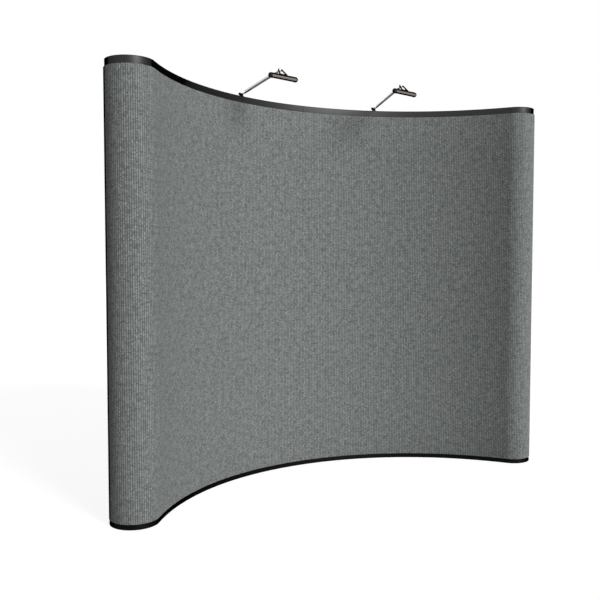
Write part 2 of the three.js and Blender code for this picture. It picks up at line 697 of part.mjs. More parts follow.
// The swivel: a turntable on the clamp's shelf with its riveted pin, a fork for the arm, the tilt
// pin and the tilt knob. Its origin is on its vertical axis at the rail's top.
function swivel() {
  const cheek = (side) =>
    join([
      rod([side * FORK_INSIDE, 0, ARM_PIVOT_RISE], [side * FORK_OUTSIDE, 0, ARM_PIVOT_RISE], ARM_EYE_RADIUS),
      box(
        [Math.min(side * FORK_INSIDE, side * FORK_OUTSIDE), -ARM_EYE_RADIUS, FORK_FLOOR],
        [Math.max(side * FORK_INSIDE, side * FORK_OUTSIDE), ARM_EYE_RADIUS, ARM_PIVOT_RISE],
      ),
    ]);
  const knobStart = [SUNK - FORK_OUTSIDE, 0, ARM_PIVOT_RISE];
  const knobEnd = [-FORK_OUTSIDE - TILT_KNOB_LENGTH, 0, ARM_PIVOT_RISE];
  const headTop = SHELF_RISE - REST_GAP;
  const headFloor = headTop - SWIVEL_HEAD_THICK;
  return join([
    rod([0, 0, FORK_FLOOR], [0, 0, FORK_FLOOR + SWIVEL_BASE], SWIVEL_RADIUS),
    rod([0, 0, headFloor], [0, 0, FORK_FLOOR + SUNK], SWIVEL_PIN_RADIUS),
    rod([0, 0, headFloor], [0, 0, headTop], SWIVEL_HEAD_RADIUS),
    cheek(-1),
    cheek(1),
    rod([-FORK_OUTSIDE - SUNK, 0, ARM_PIVOT_RISE], [FORK_OUTSIDE + PIN_END, 0, ARM_PIVOT_RISE], PIN_RADIUS),
    knob(knobStart, knobEnd, TILT_KNOB_RADIUS),
  ]);
}

// The arm: a bright tube with an eye at each end. Local X is across, local -Y leads to the head.
const ARM_LENGTH = Math.hypot(ARM_REACH, ARM_RISE);
const EYE_HOLE = PIN_RADIUS + PIVOT_GAP;

function arm() {
  const half = ARM_EYE_WIDTH / 2;
  const eye = (y) => rod([-half, y, 0], [half, y, 0], ARM_EYE_RADIUS);
  const neck = (y, towards) => {
    const ends = [y, y + towards * (EYE_REACH + TIP_OVERLAP)];
    return box([-half, Math.min(...ends), -ARM_EYE_RADIUS / 2], [half, Math.max(...ends), ARM_EYE_RADIUS / 2]);
  };
  const hole = (y) => rod([-half - CUT_PAST, y, 0], [half + CUT_PAST, y, 0], EYE_HOLE);
  return join([
    rod([0, -EYE_REACH, 0], [0, EYE_REACH - ARM_LENGTH, 0], ARM_RADIUS),
    eye(0),
    eye(-ARM_LENGTH),
    neck(0, -1),
    neck(-ARM_LENGTH, 1),
  ])
    .subtract(hole(0))
    .subtract(hole(-ARM_LENGTH));
}

// The head hangs in front of and below its tilt axis.
const SADDLE_TOP = HEAD_RADIUS + REST_GAP + SADDLE_THICK;

// The yoke: a pin through the arm's eye, an ear each side of it, two splayed legs and a saddle on
// the housing. Local origin on the tilt axis; the saddle is turned about the upright by some degrees.
function yoke(turn) {
  const inner = ARM_EYE_WIDTH / 2 + PIVOT_GAP;
  const outer = inner + YOKE_THICK;
  const solids = [rod([-outer - PIN_END, 0, 0], [outer + PIN_END, 0, 0], PIN_RADIUS)];
  for (const side of [-1, 1]) {
    const ear = side * (inner + YOKE_THICK / 2);
    solids.push(rod([side * inner, 0, 0], [side * outer, 0, 0], ARM_EYE_RADIUS));
    const foot = new THREE.Vector3(side * YOKE_SPREAD, -HEAD_FORWARD, SADDLE_TOP - SADDLE_THICK / 2 - HEAD_DROP);
    foot.applyAxisAngle(new THREE.Vector3(0, 0, 1), turn * RAD);
    solids.push(rod([ear + side * (YOKE_LEG - YOKE_THICK / 2), -YOKE_LEG, 0], foot.toArray(), YOKE_LEG));
  }
  const place = ([x, y, z]) => [x, y - HEAD_FORWARD, z - HEAD_DROP];
  const saddle = box(
    place([-SADDLE_LENGTH / 2, -SADDLE_WIDTH / 2, SADDLE_SKIRT]),
    place([SADDLE_LENGTH / 2, SADDLE_WIDTH / 2, SADDLE_TOP]),
  );
  const seat = rod(
    place([-HEAD_LENGTH / 2, 0, 0]),
    place([HEAD_LENGTH / 2, 0, 0]),
    HEAD_RADIUS + REST_GAP,
    HEAD_SIDES,
  );
  solids.push(saddle.rotate([0, 0, turn]));
  return join(solids).subtract(seat.rotate([0, 0, turn]));
}

// A bar along X with half-ball ends, as long as the housing less an inset all round.
function capsule(inset) {
  const radius = HEAD_RADIUS - inset;
  const middle = HEAD_LENGTH / 2 - HEAD_RADIUS;
  const ball = (side) => {
    const shape = new THREE.SphereGeometry(radius, HEAD_SIDES, HEAD_SIDES / 2);
    shape.rotateZ(Math.PI / 2);
    return solid(shape, shift(side * middle, 0, 0));
  };
  return wasm.Manifold.hull([ball(-1), ball(1)]);
}

// The housing: a hollow round bar. Its window looks down and back, a cover strip lies along its
// front, and the cable gland stands on its back.
function housing() {
  const window = box(
    [-WINDOW_LENGTH / 2, -WINDOW_WIDTH / 2, -HEAD_RADIUS - CUT_PAST],
    [WINDOW_LENGTH / 2, WINDOW_WIDTH / 2, 0],
  ).rotate([WINDOW_TURN, 0, 0]);
  const raised = HEAD_RADIUS + COVER_THICK;
  const cover = rod([-COVER_LENGTH / 2, 0, 0], [COVER_LENGTH / 2, 0, 0], raised, HEAD_SIDES).intersect(
    box([-COVER_LENGTH, -raised - CUT_PAST, -COVER_WIDTH / 2], [COVER_LENGTH, 0, COVER_WIDTH / 2]).rotate([
      COVER_TURN,
      0,
      0,
    ]),
  );
  const away = [0, Math.cos(GLAND_TURN * RAD), Math.sin(GLAND_TURN * RAD)];
  const along = (distance) => [HEAD_LENGTH / 4, away[1] * distance, away[2] * distance];
  const gland = rod(along(HEAD_RADIUS - HEAD_WALL / 2), along(HEAD_RADIUS + GLAND_LENGTH), GLAND_RADIUS);
  return capsule(0).add(cover).add(gland).subtract(capsule(HEAD_WALL)).subtract(window);
}

// The reflector: a trough that lies along the housing's inner wall, opposite the window.
const REFLECTOR_RADIUS = HEAD_RADIUS - HEAD_WALL - REFLECTOR_GAP;

function reflector() {
  const half = REFLECTOR_LENGTH / 2;
  const outer = rod([-half, 0, 0], [half, 0, 0], REFLECTOR_RADIUS, HEAD_SIDES);
  const inner = rod(
    [-half - CUT_PAST, 0, 0],
    [half + CUT_PAST, 0, 0],
    REFLECTOR_RADIUS - REFLECTOR_WALL,
    HEAD_SIDES,
  );
  const open = box([-HEAD_LENGTH, -HEAD_RADIUS, -HEAD_RADIUS], [HEAD_LENGTH, HEAD_RADIUS, -REFLECTOR_RIM]);
  return outer.subtract(inner).subtract(open);
}

// The lamp: a tube between two sockets that stand against the reflector's roof.
function lamp() {
  const roof = REFLECTOR_RADIUS - REFLECTOR_WALL - REST_GAP;
  const socketTop = Math.sqrt(roof ** 2 - (SOCKET_SIZE / 2) ** 2);
  const middle = socketTop - SOCKET_SIZE / 2;
  const half = LAMP_LENGTH / 2;
  const socket = (side) =>
    box(
      [Math.min(side * half, side * (half + SOCKET_LENGTH)), -SOCKET_SIZE / 2, socketTop - SOCKET_SIZE],
      [Math.max(side * half, side * (half + SOCKET_LENGTH)), SOCKET_SIZE / 2, socketTop],
    );
  return join([rod([-half - SUNK, 0, middle], [half + SUNK, 0, middle], LAMP_RADIUS), socket(-1), socket(1)]);
}

LIGHT_ANGLES.forEach((angle, index) => {
  const word = index === 0 ? "left" : "right";
  const base = wallGroup(wall, angle, WALL_HEIGHT);
  piece(base, `light_${word}_clamp`, clampBody(), BLACK_PLASTIC);
  const pad = rod([0, PAD_FACE, -SCREW_DROP], [0, PAD_FACE + PAD_THICK, -SCREW_DROP], PAD_RADIUS);
  piece(base, `light_${word}_clamp_pad`, pad, BLACK_PLASTIC);
  piece(base, `light_${word}_clamp_screw`, clampScrew(), BLACK_PLASTIC);

  const turntable = new THREE.Group();
  turntable.position.set(0, SWIVEL_DEPTH, 0);
  turntable.rotation.z = (angle + LIGHT_HEADINGS[index]) * RAD;
  base.add(turntable);
  piece(turntable, `light_${word}_swivel`, swivel(), BLACK_PLASTIC);

  const raised = new THREE.Group();
  raised.position.set(0, 0, ARM_PIVOT_RISE);
  raised.rotation.x = -Math.atan2(ARM_RISE, ARM_REACH);
  turntable.add(raised);
  piece(raised, `light_${word}_arm`, arm(), CHROME);

  const head = new THREE.Group();
  head.position.set(0, -ARM_REACH, ARM_PIVOT_RISE + ARM_RISE);
  turntable.add(head);
  const turn = HEAD_HEADING - LIGHT_HEADINGS[index];
  piece(head, `light_${word}_yoke`, yoke(turn), BLACK_PLASTIC);

  const turned = new THREE.Group();
  turned.rotation.z = turn * RAD;
  head.add(turned);
  const bar = new THREE.Group();
  bar.position.set(0, -HEAD_FORWARD, -HEAD_DROP);
  turned.add(bar);
  piece(bar, `light_${word}_housing`, housing(), BLACK_PLASTIC);

  const facing = new THREE.Group();
  facing.rotation.x = WINDOW_TURN * RAD;
  bar.add(facing);
  piece(facing, `light_${word}_reflector`, reflector(), REFLECTOR_METAL);
  piece(facing, `light_${word}_lamp`, lamp(), LAMP_GLASS);
});

// ---------------------------------------------------------------- the part's own frame

// The model stands on z = 0 and is centred on the Z axis.
const extent = new THREE.Box3().setFromObject(wall, true);
const centre = extent.getCenter(new THREE.Vector3());
wall.position.set(-centre.x, -centre.y, -extent.min.z);

const part = new THREE.Group();
part.add(wall);

export default part;
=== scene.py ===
"""Looks of a curved pop-up display backwall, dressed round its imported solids.

Metres, +Z up, the viewer stands on the -Y side. A place on the wall is given by an angle or a run
along its fabric face and by its depth behind that face.
"""

import math

import bmesh
import bpy
import numpy as np
from mathutils import Matrix, Vector


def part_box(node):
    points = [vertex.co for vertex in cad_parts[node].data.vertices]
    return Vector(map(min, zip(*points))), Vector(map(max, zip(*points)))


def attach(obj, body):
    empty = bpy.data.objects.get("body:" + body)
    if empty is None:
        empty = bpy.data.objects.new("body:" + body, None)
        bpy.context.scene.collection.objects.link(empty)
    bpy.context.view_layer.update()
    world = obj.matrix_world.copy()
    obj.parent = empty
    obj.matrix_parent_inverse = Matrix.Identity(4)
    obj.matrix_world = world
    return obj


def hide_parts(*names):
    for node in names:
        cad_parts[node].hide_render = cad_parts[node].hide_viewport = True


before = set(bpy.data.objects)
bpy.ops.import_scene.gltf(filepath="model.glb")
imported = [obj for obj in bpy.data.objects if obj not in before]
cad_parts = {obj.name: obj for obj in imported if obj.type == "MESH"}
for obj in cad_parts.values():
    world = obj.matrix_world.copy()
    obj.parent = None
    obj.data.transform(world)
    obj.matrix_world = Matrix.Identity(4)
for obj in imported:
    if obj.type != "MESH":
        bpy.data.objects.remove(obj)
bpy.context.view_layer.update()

bl_info = {
    "name": "Pop-up display backwall",
    "version": (1, 0, 0),
    "blender": (4, 5, 0),
    "location": "3D View > Sidebar > Backwall",
    "description": "Builds the panels, rails, lattice and arm lights of a curved display wall",
    "category": "Object",
}

# ---------------------------------------------------------------- sizes of the wall, in metres

WALL_HEIGHT = 2.25
FRONT_RADIUS = 1.406
HALF_SWEEP = math.radians(54.6)
END_RADIUS = 0.125
WALL_DEPTH = 2 * END_RADIUS
BAYS = 4
ROWS = 3
BAY_ANGLE = 2 * HALF_SWEEP / BAYS
END_TAIL = 0.014
PANEL_BOTTOM = 0.028
PANEL_TOP = 2.211
CLOTH_GAP = 0.0002  # between the cloths of two panels, which hide the wider gap of their backs
CLOTH_THICK = 0.0004
# Past this turn a black strip on each end panel is painted shade, where the rounded end turns away from the
# light.
CLOTH_TURN = math.radians(139)  # how far round an end its cloth reaches, to where the end faces sideways
FELT_THICK = 0.0006
BACKING_INSET = 0.003  # from a panel's edges to its felt, and from its top and bottom to its tapes
TAPE_INSET = 0.0008  # from a panel's side edge to the near side of its tape
TAPE_REACH = 0.0125  # from the same edge to the tape's far side
TAPE_BACK = 0.004  # depth of a magnet tape's back
RAIL_SEAM = 0.001
BAR_FACE = 0.0043  # depth of a channel bar's face
# The bars' faces give the distance of the arc's centre from the part's own origin.
ARC_CENTRE_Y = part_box("channel_bar_3")[0][1] - BAR_FACE - FRONT_RADIUS

HUB_RADIUS = 0.027
HUB_THICK = 0.016
FRONT_HUB_DEPTH = 0.0206
BACK_HUB_DEPTH = WALL_DEPTH - FRONT_HUB_DEPTH
BOTTOM_HUB_Z = 0.062
HUB_PITCH = (2.175 - BOTTOM_HUB_Z) / ROWS
TUBE_RADIUS = 0.005
TUBE_STEP = 0.006
RIVET_REACH = 0.0062  # from a tube's axis to the end of its rivet
PIVOT_OFFSET = 0.016
UPRIGHT_INSET = 0.018
POST_WIDTH = 0.024
POST_FRONT = 0.0088  # depths of a rail post's faces
END_POST_FRONT = 0.01
POST_REAR = 0.0237
POST_TOP = WALL_HEIGHT - 0.0033
FOOT_RADIUS = 0.014
FOOT_HEIGHT = 0.006
FOOT_INSET = 0.0035
LEG_RADIUS = 0.007

LIGHTS = {"left": (-17.7, 5.2), "right": (19.8, -12.1)}  # place on the wall and arm's heading, degrees
HEAD_HEADING = 12.0  # of both heads
CLAMP_WIDTH = 0.022
SCREW_RISE = -0.008  # of the clamp screw's axis over the rail's top
SCREW_RADIUS = 0.003
PAD_RADIUS = 0.006
SWIVEL_DEPTH = 0.036
ARM_PIVOT_RISE = 0.019
ARM_REACH = 0.420
ARM_RISE = 0.054
ARM_LENGTH = math.hypot(ARM_REACH, ARM_RISE)
EYE_RADIUS = 0.0065  # of an arm's eyes and of the cheeks beside them
EYE_HALF = 0.0055  # half the thickness of an eye
ARM_REFLECTION_STRIP_INSET = 0.05  # from the tilt axes to the ends of an arm's strip of painted reflection
STRIP_CORNER = 0.003
HEAD_FORWARD = 0.028
HEAD_DROP = 0.044
HEAD_LENGTH = 0.200
HEAD_RADIUS = 0.0145
HEAD_WALL = 0.0025
WINDOW_TURN = math.radians(38)
WINDOW_LENGTH = 0.150
WINDOW_WIDTH = 0.017
GROOVE = 0.0002  # half width of the groove between the housing and its end caps
COVER_TURN = math.radians(17)
COVER_LENGTH = 0.168
COVER_WIDTH = 0.011
YOKE_SPREAD = 0.023
SADDLE_LENGTH = 0.056
SADDLE_WIDTH = 0.016
SADDLE_THICK = 0.0027
EAR_RADIUS = 0.0072
YOKE_LEG_RADIUS = 0.0044
REFLECTOR_RADIUS = 0.0116
REFLECTOR_WALL = 0.0012
REFLECTOR_RIM = -0.005
REFLECTOR_LENGTH = 0.152
LAMP_RADIUS = 0.004
LAMP_LENGTH = 0.112
LAMP_RISE = 0.00454
SOCKET_SIZE = 0.009
SOCKET_LENGTH = 0.012
GLAND_TURN = math.radians(20)
REST_GAP = 0.0003

# ---------------------------------------------------------------- what a user would change


def hex_colour(text):
    """A linear RGBA colour from an sRGB hex value.

    A value c becomes c / 12.92 up to 0.04045 and ((c + 0.055) / 1.055) ^ 2.4 above."""
    values = np.array([int(text[i : i + 2], 16) for i in (0, 2, 4)]) / 255
    linear = np.where(values <= 0.04045, values / 12.92, ((values + 0.055) / 1.055) ** 2.4)
    return (*linear.tolist(), 1.0)


def colour_property(name, text, description):
    """A colour that the user can change, from an sRGB hex value."""
    more = {"subtype": "COLOR", "size": 4, "min": 0, "max": 1, "default": hex_colour(text)}
    return bpy.props.FloatVectorProperty(name=name, description=description, **more)


def number_property(name, value, description, **more):
    """A number that the user can change."""
    return bpy.props.FloatProperty(name=name, description=description, default=value, **more)


def length_property(name, metres, description):
    """A length that the user can change."""
    return number_property(name, metres, description, min=0.0001, unit="LENGTH")


def direction_property(name, degrees, description):
    """An angle that the user can change."""
    return number_property(name, math.radians(degrees), description, subtype="ANGLE")


class FabricFinish(bpy.types.PropertyGroup):
    """Colours and relief of the ribbed loop fabric."""

    ground: colour_property("Ground", "898d8b", "Colour of most of the yarn")
    # The dark colour gives the dark flecks, cells and clouds, and also paints shade between the ribs and in
    # the loops' hollows.
    dark: colour_property("Dark yarn and painted shade", "4f5453", "Colour between the ribs and of the dark flecks")
    light: colour_property("Light yarn", "b4b8b4", "Colour of the light flecks")
    warm: colour_property("Warm yarn", "94897a", "Colour of the sparse warm flecks")
    rib_pitch: length_property("Rib pitch", 0.011, "Distance from rib to rib")
    rib_height: length_property("Rib height", 0.0005, "How far a rib stands proud")
    loop_height: length_property("Loop height", 0.003, "Height of one loop along a rib")
    fold_radius: length_property("Fold radius", 0.0007, "Radius of the cloth round the panel's edge")
    turn_in: length_property("Turn-in", 0.011, "Width of the cloth turned on to the panel's back")


class RailFinish(bpy.types.PropertyGroup):
    """Colour and edges of the black rails and plastic."""

    rail: colour_property("Rail", "050505", "Colour of the black edge rails")
    plastic: colour_property("Plastic", "070708", "Colour of the moulded black parts")
    corner: length_property("Corner", 0.0008, "Radius of the rails' corners")


class MetalFinish(bpy.types.PropertyGroup):
    """Colours of the bare and plated metal."""

    tube: colour_property("Tube", "b4b7ba", "Colour of the lattice tubes")
    steel: colour_property("Steel", "5a5d60", "Colour of the channel bars")
    chrome: colour_property("Chrome", "dcdad8", "Colour of the plated arms")
    # The arms' strips in this colour are painted reflection; the heads' strips are parts of their own.
    strip: colour_property("Cover strip", "857b75", "Colour of the lights' cover strips")
    reflector: colour_property("Reflector", "b3a79f", "Colour of the reflectors")


class StudioSettings(bpy.types.PropertyGroup):
    """Lamps, backdrop and camera."""

    key_strength: number_property("Key light", 3.25, "Strength of the soft key light", min=0)
    key_azimuth: direction_property(
        "Key azimuth", 15, "Direction of the key light, to the right of straight ahead"
    )
    key_elevation: direction_property("Key elevation", 20, "Height of the key light above the horizon")
    back_strength: number_property(
        "Back light", 0.8, "Strength of the soft light behind the wall", min=0
    )
    fill_strength: number_property("Fill light", 0.015, "Strength of the even fill light", min=0)
    lens: number_property("Lens", 45.58, "Focal length on a 36 mm sensor, in mm", min=1)


# ---------------------------------------------------------------- plan of the wall


def front_place(angle, depth):
    """Plan points behind the concave face: a circle of radius FRONT_RADIUS + depth."""
    radius = FRONT_RADIUS + depth
    return np.stack([radius * np.sin(angle), ARC_CENTRE_Y + radius * np.cos(angle)], axis=-1)


def end_place(run, depth, side):
    """Plan points of a rounded end from the run along its face past the front seam and the depth behind it.

    The run follows a half circle of radius END_RADIUS and then goes straight back along the wall. A point
    at some depth lies on the circle of radius END_RADIUS - depth. The half circle is then turned with the
    end of the concave face and mirrored by side."""
    turn = np.clip(run / END_RADIUS, 0, np.pi)
    radius = END_RADIUS - depth
    along = radius * np.sin(turn) - np.maximum(run - np.pi * END_RADIUS, 0)
    behind = FRONT_RADIUS + END_RADIUS - radius * np.cos(turn)
    x = behind * np.sin(HALF_SWEEP) + along * np.cos(HALF_SWEEP)
    y = behind * np.cos(HALF_SWEEP) - along * np.sin(HALF_SWEEP)
    return np.stack([side * x, ARC_CENTRE_Y + y], axis=-1)


def wall_matrix(angle, depth=0.0, height=0.0):
    """The frame of a place on the wall: local X runs along the wall and local Y leads behind the face."""
    x, y = front_place(np.float64(angle), np.float64(depth))
    return Matrix.Translation((x, y, height)) @ Matrix.Rotation(-angle, 4, "Z")


def column_angle(column):
    """The angle of a frame column on the arc, counted from the left end."""
    return -HALF_SWEEP + column * BAY_ANGLE


# ---------------------------------------------------------------- surfaces

# A shape is a pair: an array of points and a list of faces.


def grid_shape(points, wrap_columns=False, cap=False):
    """A surface from a grid of points; each point is joined to the next in its row and column."""
    rows, columns = points.shape[:2]
    index = np.arange(rows * columns).reshape(rows, columns)
    index_grid = np.hstack([index, index[:, :1]]) if wrap_columns else index
    corners = [index_grid[:-1, :-1], index_grid[:-1, 1:], index_grid[1:, 1:], index_grid[1:, :-1]]
    faces = np.stack(corners, axis=-1).reshape(-1, 4).tolist()
    if cap:
        faces += [index[0, ::-1].tolist(), index[-1].tolist()]
    return points.reshape(-1, 3), faces


def joined(shapes):
    """One shape from several, whose faces count on past the points of the shapes before them."""
    points, faces, count = [], [], 0
    for shape_points, shape_faces in shapes:
        points.append(shape_points)
        faces += [[corner + count for corner in face] for face in shape_faces]
        count += len(shape_points)
    return np.concatenate(points), faces


def moved(shape, matrix):
    """The shape under a 4 by 4 matrix: p' = R p + t."""
    values = np.array(matrix)
    return shape[0] @ values[:3, :3].T + values[:3, 3], shape[1]


def tapered(stations, radii, sides=20):
    """A round body about the X axis: the ring at station x has the radius r(x)."""
    turn = np.linspace(0, 2 * np.pi, sides, endpoint=False)
    stations, radii = np.asarray(stations, float), np.asarray(radii, float)
    points = np.empty((len(stations), sides, 3))
    points[..., 0] = stations[:, None]
    points[..., 1] = radii[:, None] * np.cos(turn)
    points[..., 2] = radii[:, None] * np.sin(turn)
    return grid_shape(points, wrap_columns=True, cap=True)


def aimed(start, end):
    """The frame whose X axis leads from start to end."""
    start, end = Vector(start), Vector(end)
    turn = (end - start).to_track_quat("X", "Z").to_matrix().to_4x4()
    return Matrix.Translation(start) @ turn


def round_bar(start, end, radius, edge=0.0006, sides=16):
    """A straight round bar: full radius between its ends, with each rim rounded by a quarter circle."""
    length = (Vector(end) - Vector(start)).length
    turn = np.linspace(0, np.pi / 2, 4)
    rise = edge * (1 - np.cos(turn))
    inset = radius - edge * (1 - np.sin(turn))
    stations = np.concatenate([rise, length - rise[::-1]])
    return moved(tapered(stations, np.concatenate([inset, inset[::-1]]), sides), aimed(start, end))


def filleted(outline, radius, steps=4):
    """A closed outline with rounded corners: each corner becomes the curve (1-t)^2 A + 2t(1-t) C + t^2 B
    between the points A and B that lie one radius, or at most 0.45 of the side, from the corner C."""
    corner = np.asarray(outline, float)
    towards = [np.roll(corner, 1, axis=0) - corner, np.roll(corner, -1, axis=0) - corner]
    ends = []
    for side in towards:
        length = np.linalg.norm(side, axis=1, keepdims=True)
        ends.append(corner + side / length * np.minimum(radius, 0.45 * length))
    t = np.linspace(0, 1, steps)[None, :, None]
    curve = (1 - t) ** 2 * ends[0][:, None] + 2 * t * (1 - t) * corner[:, None] + t**2 * ends[1][:, None]
    return curve.reshape(-1, 2)


def inset_outline(outline, distance):
    """The outline moved inwards: each point goes along the mean of its two sides' inward normals."""
    following = np.roll(outline, -1, axis=0) - outline
    length = np.maximum(np.linalg.norm(following, axis=1, keepdims=True), 1e-9)
    normal = np.stack([-following[:, 1], following[:, 0]], axis=-1) / length
    x, y = outline.T
    area = 0.5 * np.sum(x * np.roll(y, -1) - np.roll(x, -1) * y)
    mean = normal + np.roll(normal, 1, axis=0)
    mean /= np.maximum(np.linalg.norm(mean, axis=1, keepdims=True), 1e-9)
    return outline + math.copysign(distance, area) * mean


def plate(outline, low, high, edge=0.0006):
    """A flat piece: the outline (x, z) drawn along Y from low to high, with a rounded rim.

    The rim's rings run round a quarter circle: inset e(1 - sin t) at e(1 - cos t) from the face."""
    turn = np.linspace(0, np.pi / 2, 3)
    inset = edge * (1 - np.sin(turn))
    rise = edge * (1 - np.cos(turn))
    rings = []
    for distance, y in [*zip(inset, low + rise), *zip(inset[::-1], high - rise[::-1])]:
        flat = inset_outline(np.asarray(outline, float), distance)
        rings.append(np.stack([flat[:, 0], np.full(len(flat), y), flat[:, 1]], axis=-1))
    return grid_shape(np.array(rings), wrap_columns=True, cap=True)


def round_about_x(stations, turn, radius):
    """A body with rings at stations x of points (x, r sin t, r cos t), where t is measured from +Z."""
    points = np.empty((len(stations), turn.shape[-1], 3))
    points[..., 0] = stations[:, None]
    points[..., 1] = radius * np.sin(turn)
    points[..., 2] = radius * np.cos(turn)
    return grid_shape(points, wrap_columns=True, cap=True)


def open_pipe(half, inner, outer, inner_end, outer_end):
    """A pipe along X from -half to half with a slot towards -Z: its section runs round the outer radius
    between -outer_end and outer_end, measured from +Z, and back round the inner radius."""
    share = np.linspace(-1, 1, 33)
    share = np.sign(share) * np.abs(share) ** 0.9
    turn = np.concatenate([share * outer_end, share[::-1] * inner_end])
    radius = np.repeat([outer, inner], len(share))
    radius[[0, 32]] -= 0.15 * (outer - inner)
    radius[[33, 65]] += 0.15 * (outer - inner)
    return round_about_x(np.linspace(-half, half, 9), turn, radius)


def curved_strip(length, width, inner, outer, corner):
    """A strip bent round the X axis with its middle towards +Z, between two radii.

    Its half width is w - c + sqrt(c^2 - (c - t)^2) at the distance t < c from an end, and w beyond."""
    near = corner * np.array([0, 0.03, 0.12, 0.3, 0.6, 1.0])
    distance = np.concatenate([near, near[::-1]])
    stations = np.concatenate([near, length - near[::-1]]) - length / 2
    half = width / 2 - corner + np.sqrt(corner**2 - (corner - distance) ** 2)
    share = np.linspace(-1, 1, 15)
    share = np.concatenate([share, share[::-1]])
    radius = np.repeat([outer, inner], 15)
    soft = np.ones(30)
    radius[[0, 14]] -= 0.4 * (outer - inner)
    soft[[1, 13]] = 1.12
    return round_about_x(stations, half[:, None] / outer * (share * soft)[None, :], radius)


def rounded_block(low, high, edge=0.0008):
    """A block between two corners whose upright edges and rims are rounded."""
    outline = filleted([(low[0], low[2]), (high[0], low[2]), (high[0], high[2]), (low[0], high[2])], edge)
    return plate(outline, low[1], high[1], edge)


def ring_outline(radius, count, wave=0.0, lobes=1):
    """A closed outline r(t) = radius (1 + wave cos(lobes t))."""
    turn = np.linspace(0, 2 * np.pi, count, endpoint=False)
    reach = radius * (1 + wave * np.cos(lobes * turn))
    return np.stack([reach * np.cos(turn), reach * np.sin(turn)], axis=-1)


# ---------------------------------------------------------------- pieces

SMOOTH_BELOW = math.radians(38)


def new_piece(name, shape, material, body, replaces=(), uv=None):
    """A piece from one shape, with smooth faces, its material and its body."""
    points, faces = shape
    mesh = bpy.data.meshes.new(name)
    mesh.from_pydata(points.tolist(), [], faces)
    if uv is not None:
        layer = mesh.uv_layers.new(name="cloth")
        corner = np.empty(len(mesh.loops), dtype=np.int32)
        mesh.loops.foreach_get("vertex_index", corner)
        layer.data.foreach_set("uv", uv[corner].astype(np.float32).ravel())
    work = bmesh.new()
    work.from_mesh(mesh)
    bmesh.ops.recalc_face_normals(work, faces=work.faces)
    work.to_mesh(mesh)
    work.free()
    mesh.shade_smooth()
    mesh.set_sharp_from_angle(angle=SMOOTH_BELOW)
    mesh.materials.append(material)
    piece = bpy.data.objects.new(name, mesh)
    bpy.context.scene.collection.objects.link(piece)
    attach(piece, body)
    if replaces:
        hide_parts(*replaces)
    return piece


# ---------------------------------------------------------------- materials


def add_node(tree, kind, inputs=None, **settings):
    """Adds a node; an input given as a socket is linked, and any other is set."""
    node = tree.nodes.new(kind)
    for name, value in settings.items():
        setattr(node, name, value)
    for key, value in (inputs or {}).items():
        if isinstance(value, bpy.types.NodeSocket):
            tree.links.new(value, node.inputs[key])
        else:
            node.inputs[key].default_value = value
    return node


def start_material(name, **values):
    """A material, new or rebuilt in place, with its one surface shader and the shader's plain values."""
    material = bpy.data.materials.get(name) or bpy.data.materials.new(name)
    material.use_nodes = True
    tree = material.node_tree
    tree.nodes.clear()
    shader = add_node(tree, "ShaderNodeBsdfPrincipled")
    add_node(tree, "ShaderNodeOutputMaterial", {"Surface": shader.outputs[0]})
    for key, value in values.items():
        shader.inputs[key.replace("_", " ")].default_value = value
    return material, tree, shader


def drive(tree, node, **sources):
    """Links each source to the node's socket of that name, with spaces for underscores."""
    for name, source in sources.items():
        tree.links.new(source, node.inputs[name.replace("_", " ")])


MIX_A, MIX_B, MIX_COLOUR = 6, 7, 2  # the colour sockets of a Mix node


def blended(tree, factor, first, second, mode="MIX"):
    """The mix of two colours by a factor."""
    inputs = {0: factor, MIX_A: first, MIX_B: second}
    mixed = add_node(tree, "ShaderNodeMix", inputs, data_type="RGBA", blend_type=mode)
    return mixed.outputs[MIX_COLOUR]


def mapped(tree, value, low, high, start=0.0, end=1.0):
    """The value carried evenly from start..end to low..high, and held beyond both."""
    limits = {"From Min": start, "From Max": end, "To Min": low, "To Max": high}
    return add_node(tree, "ShaderNodeMapRange", {"Value": value, **limits}).outputs[0]


def noise(tree, place, scale, detail, roughness=0.5):
    """Noise on a place, from 0 to 1."""
    shape = {"Scale": scale, "Detail": detail, "Roughness": roughness}
    return add_node(tree, "ShaderNodeTexNoise", {"Vector": place, **shape}).outputs["Fac"]


def stretched(tree, place, scale):
    """A place multiplied by a scale along each axis."""
    return add_node(tree, "ShaderNodeMapping", {"Vector": place, "Scale": scale}).outputs[0]


def object_noise(tree, millimetres, detail=3.0, stretch=(1, 1, 1)):
    """Noise on the piece's own place, with features of about the given size."""
    place = add_node(tree, "ShaderNodeTexCoord").outputs["Object"]
    return noise(tree, stretched(tree, place, stretch), 1000 / millimetres, detail)


def bumped(tree, height, strength, distance):
    """The normal of a relief of the given height."""
    relief = {"Strength": strength, "Distance": distance, "Height": height}
    return add_node(tree, "ShaderNodeBump", relief).outputs[0]


def darker(colour, share):
    """The colour with its light multiplied by a share."""
    return (*(share * value for value in colour[:3]), 1.0)


def directly_seen(tree):
    """1 for camera, glossy and transmission rays and 0 for the rest, so that metal and glass show white."""
    ray = add_node(tree, "ShaderNodeLightPath").outputs
    seen = ray["Is Camera Ray"]
    for kind in ("Is Glossy Ray", "Is Transmission Ray"):
        both = {0: seen, 1: ray[kind]}
        seen = add_node(tree, "ShaderNodeMath", both, operation="MAXIMUM").outputs[0]
    return seen


def worn_surface(tree, shader, colour, shades, grain_mm, roughness, depth):
    """Colour, roughness and a fine grain that vary a little over a hard surface."""
    clouds = object_noise(tree, 60)
    grain = object_noise(tree, grain_mm, 2.0)
    shade = mapped(tree, clouds, *shades)
    tone = add_node(tree, "ShaderNodeCombineColor", {i: shade for i in range(3)}).outputs[0]
    drive(
        tree,
        shader,
        Base_Color=blended(tree, 1.0, colour, tone, "MULTIPLY"),
        Roughness=mapped(tree, grain, *roughness),
        Normal=bumped(tree, grain, 0.25, depth),
    )


